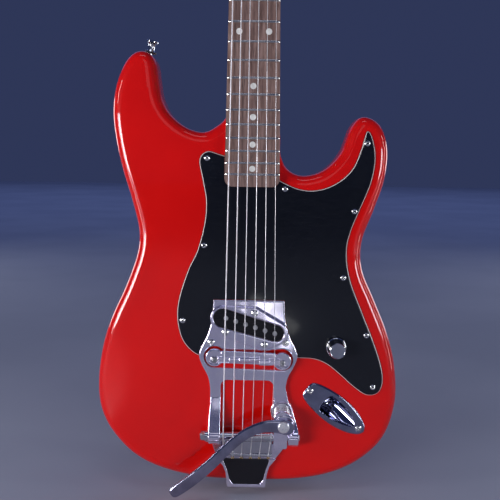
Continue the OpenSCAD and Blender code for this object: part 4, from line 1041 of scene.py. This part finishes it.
# ---------------------------------------------------------------- tuners
def tuner_key():
    """Thumb button, dished on both sides."""
    rows, cols = 24, 40
    half_x, half_y, half_z = 8.4, 3.4, 7.9
    verts = []
    for a in range(rows + 1):
        u = math.pi * a / rows
        flat = abs(math.sin(u)) ** 0.75
        for b in range(cols):
            w = 2 * math.pi * b / cols
            x = -half_x * math.cos(u) * (1 - 0.10 * math.cos(w) ** 2)
            z = half_z * flat * math.copysign(abs(math.cos(w)) ** 0.8, math.cos(w))
            y = half_y * flat * math.copysign(abs(math.sin(w)) ** 0.9, math.sin(w))
            y *= 1 - 0.22 * math.exp(-(x / 3.5) ** 2 - (z / 3.8) ** 2)
            verts.append(Vector((KEY_X + x, y, KEY_H + z)) * MM)
    return verts, stacked(rows + 1, cols)


def build_tuners():
    shaft = [(0, -22), (2.2, -22), (2.2, -20.8), (3.1, -20.6), (3.1, -19.2), (2.6, -18.8),
             (2.6, -17.4), (3.1, -17), (3.1, -15.2), (2.2, -15), (2.2, 4.1), (0, 4.1)]
    along_x = Matrix.Translation(Vector((0, 0, KEY_H)) * MM) @ Matrix.Rotation(math.pi / 2, 4, "Y")
    key = joined(tuner_key(), lathe(shaft, 40, along_x))
    turn = Matrix.Rotation(math.radians(TUNER_TURN), 4, "Y")
    for i in range(6):
        x, z = post_xz(i)
        part = moved(key, Matrix.Translation(at(x, HEAD_BACK_H - 4.3, z)) @ turn)
        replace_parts(make("tuner_key_%d" % (i + 1), part, CHROME, "button_%d" % (i + 1), 40),
                    "tuner_button_%d" % (i + 1))


# ---------------------------------------------------------------- the nodes that stay
def dress_nodes():
    dress("fretboard", ROSEWOOD, 0.35, 50)
    dress("position_dots", DOT)
    dress("nut", BONE, 0.25)
    dress("truss_rod", DARK_STEEL, 0.15)
    dress("neck_plate", CHROME, 0.3)
    dress("string_trees", CHROME, 0.15)
    dress("strap_buttons", CHROME)
    dress("strap_washers", FELT, 0.3)
    dress("strap_screws", SCREW, 0.1)
    dress("tail_panel", PANEL_BLACK, 0.25)
    dress("pickup_bobbin", BOBBIN_BLACK, 0.3)
    dress("pickup_coil", COPPER)
    dress("pickup_poles", POLE, 0.25)
    dress("pickup_springs", SCREW, 0.15)
    dress("post_bushes", BRASS, 0.15)
    dress("string_shaft", CHROME, 0.2)
    dress("shaft_bushes", BRASS, 0.15)
    dress("shaft_nut", CHROME, 0.2)
    dress("potentiometer", DARK_STEEL, 0.2)
    dress("pot_shaft", BRASS, 0.1)
    dress("pot_nut", CHROME, 0.12)
    dress("jack_socket", CHROME, 0.15)
    dress("wiring", COVER)
    dress("tuner_housings", CHROME, 0.6)
    dress("tuner_ferrules", CHROME, 0.2)
    for i in range(6):
        dress("tuner_post_%d" % (i + 1), CHROME, 0.15)


# ---------------------------------------------------------------- stage
def build_stage():
    f = Finish("floor_paper")
    tone = f.noise(2.2, 3)
    f.set(Base_Color=f.mix(f.span(tone, 0.4, 0.6, 0, 1), (0.34, 0.36, 0.44), (0.38, 0.40, 0.48)),
          Roughness=0.8, Normal=f.bump(f.noise(900, 3), 0.05, 0.1))
    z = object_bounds()[0][2]
    mesh = bpy.data.meshes.new("floor")
    mesh.from_pydata([(-8, -8, z), (8, -8, z), (8, 8, z), (-8, 8, z)], [], [(0, 1, 2, 3)])
    mesh.materials.append(f.m)
    placed("floor", mesh)

    world = bpy.data.worlds.new("studio")
    bpy.context.scene.world = world
    world.use_nodes = True
    sky = world.node_tree.nodes["Background"].inputs
    sky["Color"].default_value = (0.028, 0.038, 0.096, 1)
    sky["Strength"].default_value = 1.0

    def lamp(name, place, target, size, power, colour=(1, 1, 1), roll=0.0):
        """Rectangular light; place and size in metres, power in watts, roll in degrees."""
        data = bpy.data.lights.new(name, "AREA")
        data.shape = "RECTANGLE"
        data.size, data.size_y = size
        data.energy = power
        data.color = colour
        obj = placed(name, data)
        obj.location = place
        obj.visible_camera = False
        aim = (Vector(target) - Vector(place)).to_track_quat("-Z", "Y")
        obj.rotation_euler = (aim @ Quaternion((0, 0, 1), math.radians(roll))).to_euler()

    lamp("left_box", (-1.5, -1.5, 0.22), (0, 0, 0.25), (0.8, 0.5), 31, (1, 0.97, 1))
    lamp("right_box", (1.5, -1.5, 0.30), (0, 0, 0.28), (0.6, 0.45), 11, (0.94, 0.96, 1))
    lamp("left_strip_low", (-0.72, -0.33, 0.22), (-0.15, 0, 0.20), (0.04, 0.40), 0.8)
    lamp("left_strip_high", (-0.72, -0.33, 0.56), (-0.13, 0, 0.40), (0.05, 0.16), 0.45)
    lamp("right_strip_low", (0.82, -0.16, 0.21), (0.15, 0, 0.19), (0.035, 0.40), 0.8)
    lamp("right_strip_high", (0.82, -0.16, 0.52), (0.13, 0, 0.36), (0.04, 0.2), 0.45)
    lamp("top_box", (0.0, -0.9, 2.2), (0, 0, 0.4), (1.2, 0.4), 2.5, (0.8, 0.84, 1))
    lamp("low_strip", (0.040, -0.70, 0.040), (0.02, 0, 0.19), (0.11, 0.024), 0.018, roll=-34)
    lamp("front_soft", (0.0, -1.6, 0.80), (0, 0, 0.1), (0.46, 0.55), 0.39, (0.92, 0.92, 1))
    lamp("far_box", (0, 4.8, 2.6), (0, 4.8, 0), (9, 5), 60, (0.36, 0.48, 1))
    lamp("back_left", (-1.8, 1.3, 0.4), (0, 0, 0.4), (0.8, 0.6), 7, (0.95, 0.96, 1))
    lamp("back_right", (1.8, 1.3, 0.4), (0, 0, 0.4), (0.8, 0.6), 7, (0.95, 0.96, 1))

    scene = bpy.context.scene
    scene.view_settings.view_transform = "Standard"
    scene.view_settings.look = "None"


def build_camera():
    """Same viewpoint as the photograph: 54 mm lens, 0.8 m in front, a little above and tilted down."""
    pitch, yaw, roll = (math.radians(turn) for turn in CAMERA_TURNS)
    ahead = Vector((math.sin(yaw) * math.cos(pitch), math.cos(yaw) * math.cos(pitch), -math.sin(pitch)))
    right = Vector((math.cos(yaw), -math.sin(yaw), 0))
    up = right.cross(ahead)
    r = right * math.cos(roll) + up * math.sin(roll)
    u = up * math.cos(roll) - right * math.sin(roll)
    data = bpy.data.cameras.new("camera")
    data.sensor_width = 36
    data.lens = LENS
    data.clip_start = 0.05
    data.clip_end = 40
    obj = placed("camera", data)
    obj.matrix_world = Matrix.Translation(CAMERA_PLACE) @ Matrix(
        ((r.x, u.x, -ahead.x, 0), (r.y, u.y, -ahead.y, 0), (r.z, u.z, -ahead.z, 0), (0, 0, 0, 1)))
    bpy.context.scene.camera = obj


build_camera()
build_body()
build_guard()
build_screws()
build_neck()
build_frets()
build_strings()
build_string_ends()
build_arm()
build_spring()
build_stud()
build_knob()
build_tuners()
from_node("vibrato_frame", 0.42, 9, CAST_PAINTED_BLUE)
from_node("arm_bracket", 0.32, 9, CAST_PAINTED_BLUE, "vibrato")
build_bridge()
from_node("jack_plate", 0.35, 3, JACK_CHROME_PAINTED_DARK)
dress_nodes()
build_stage()
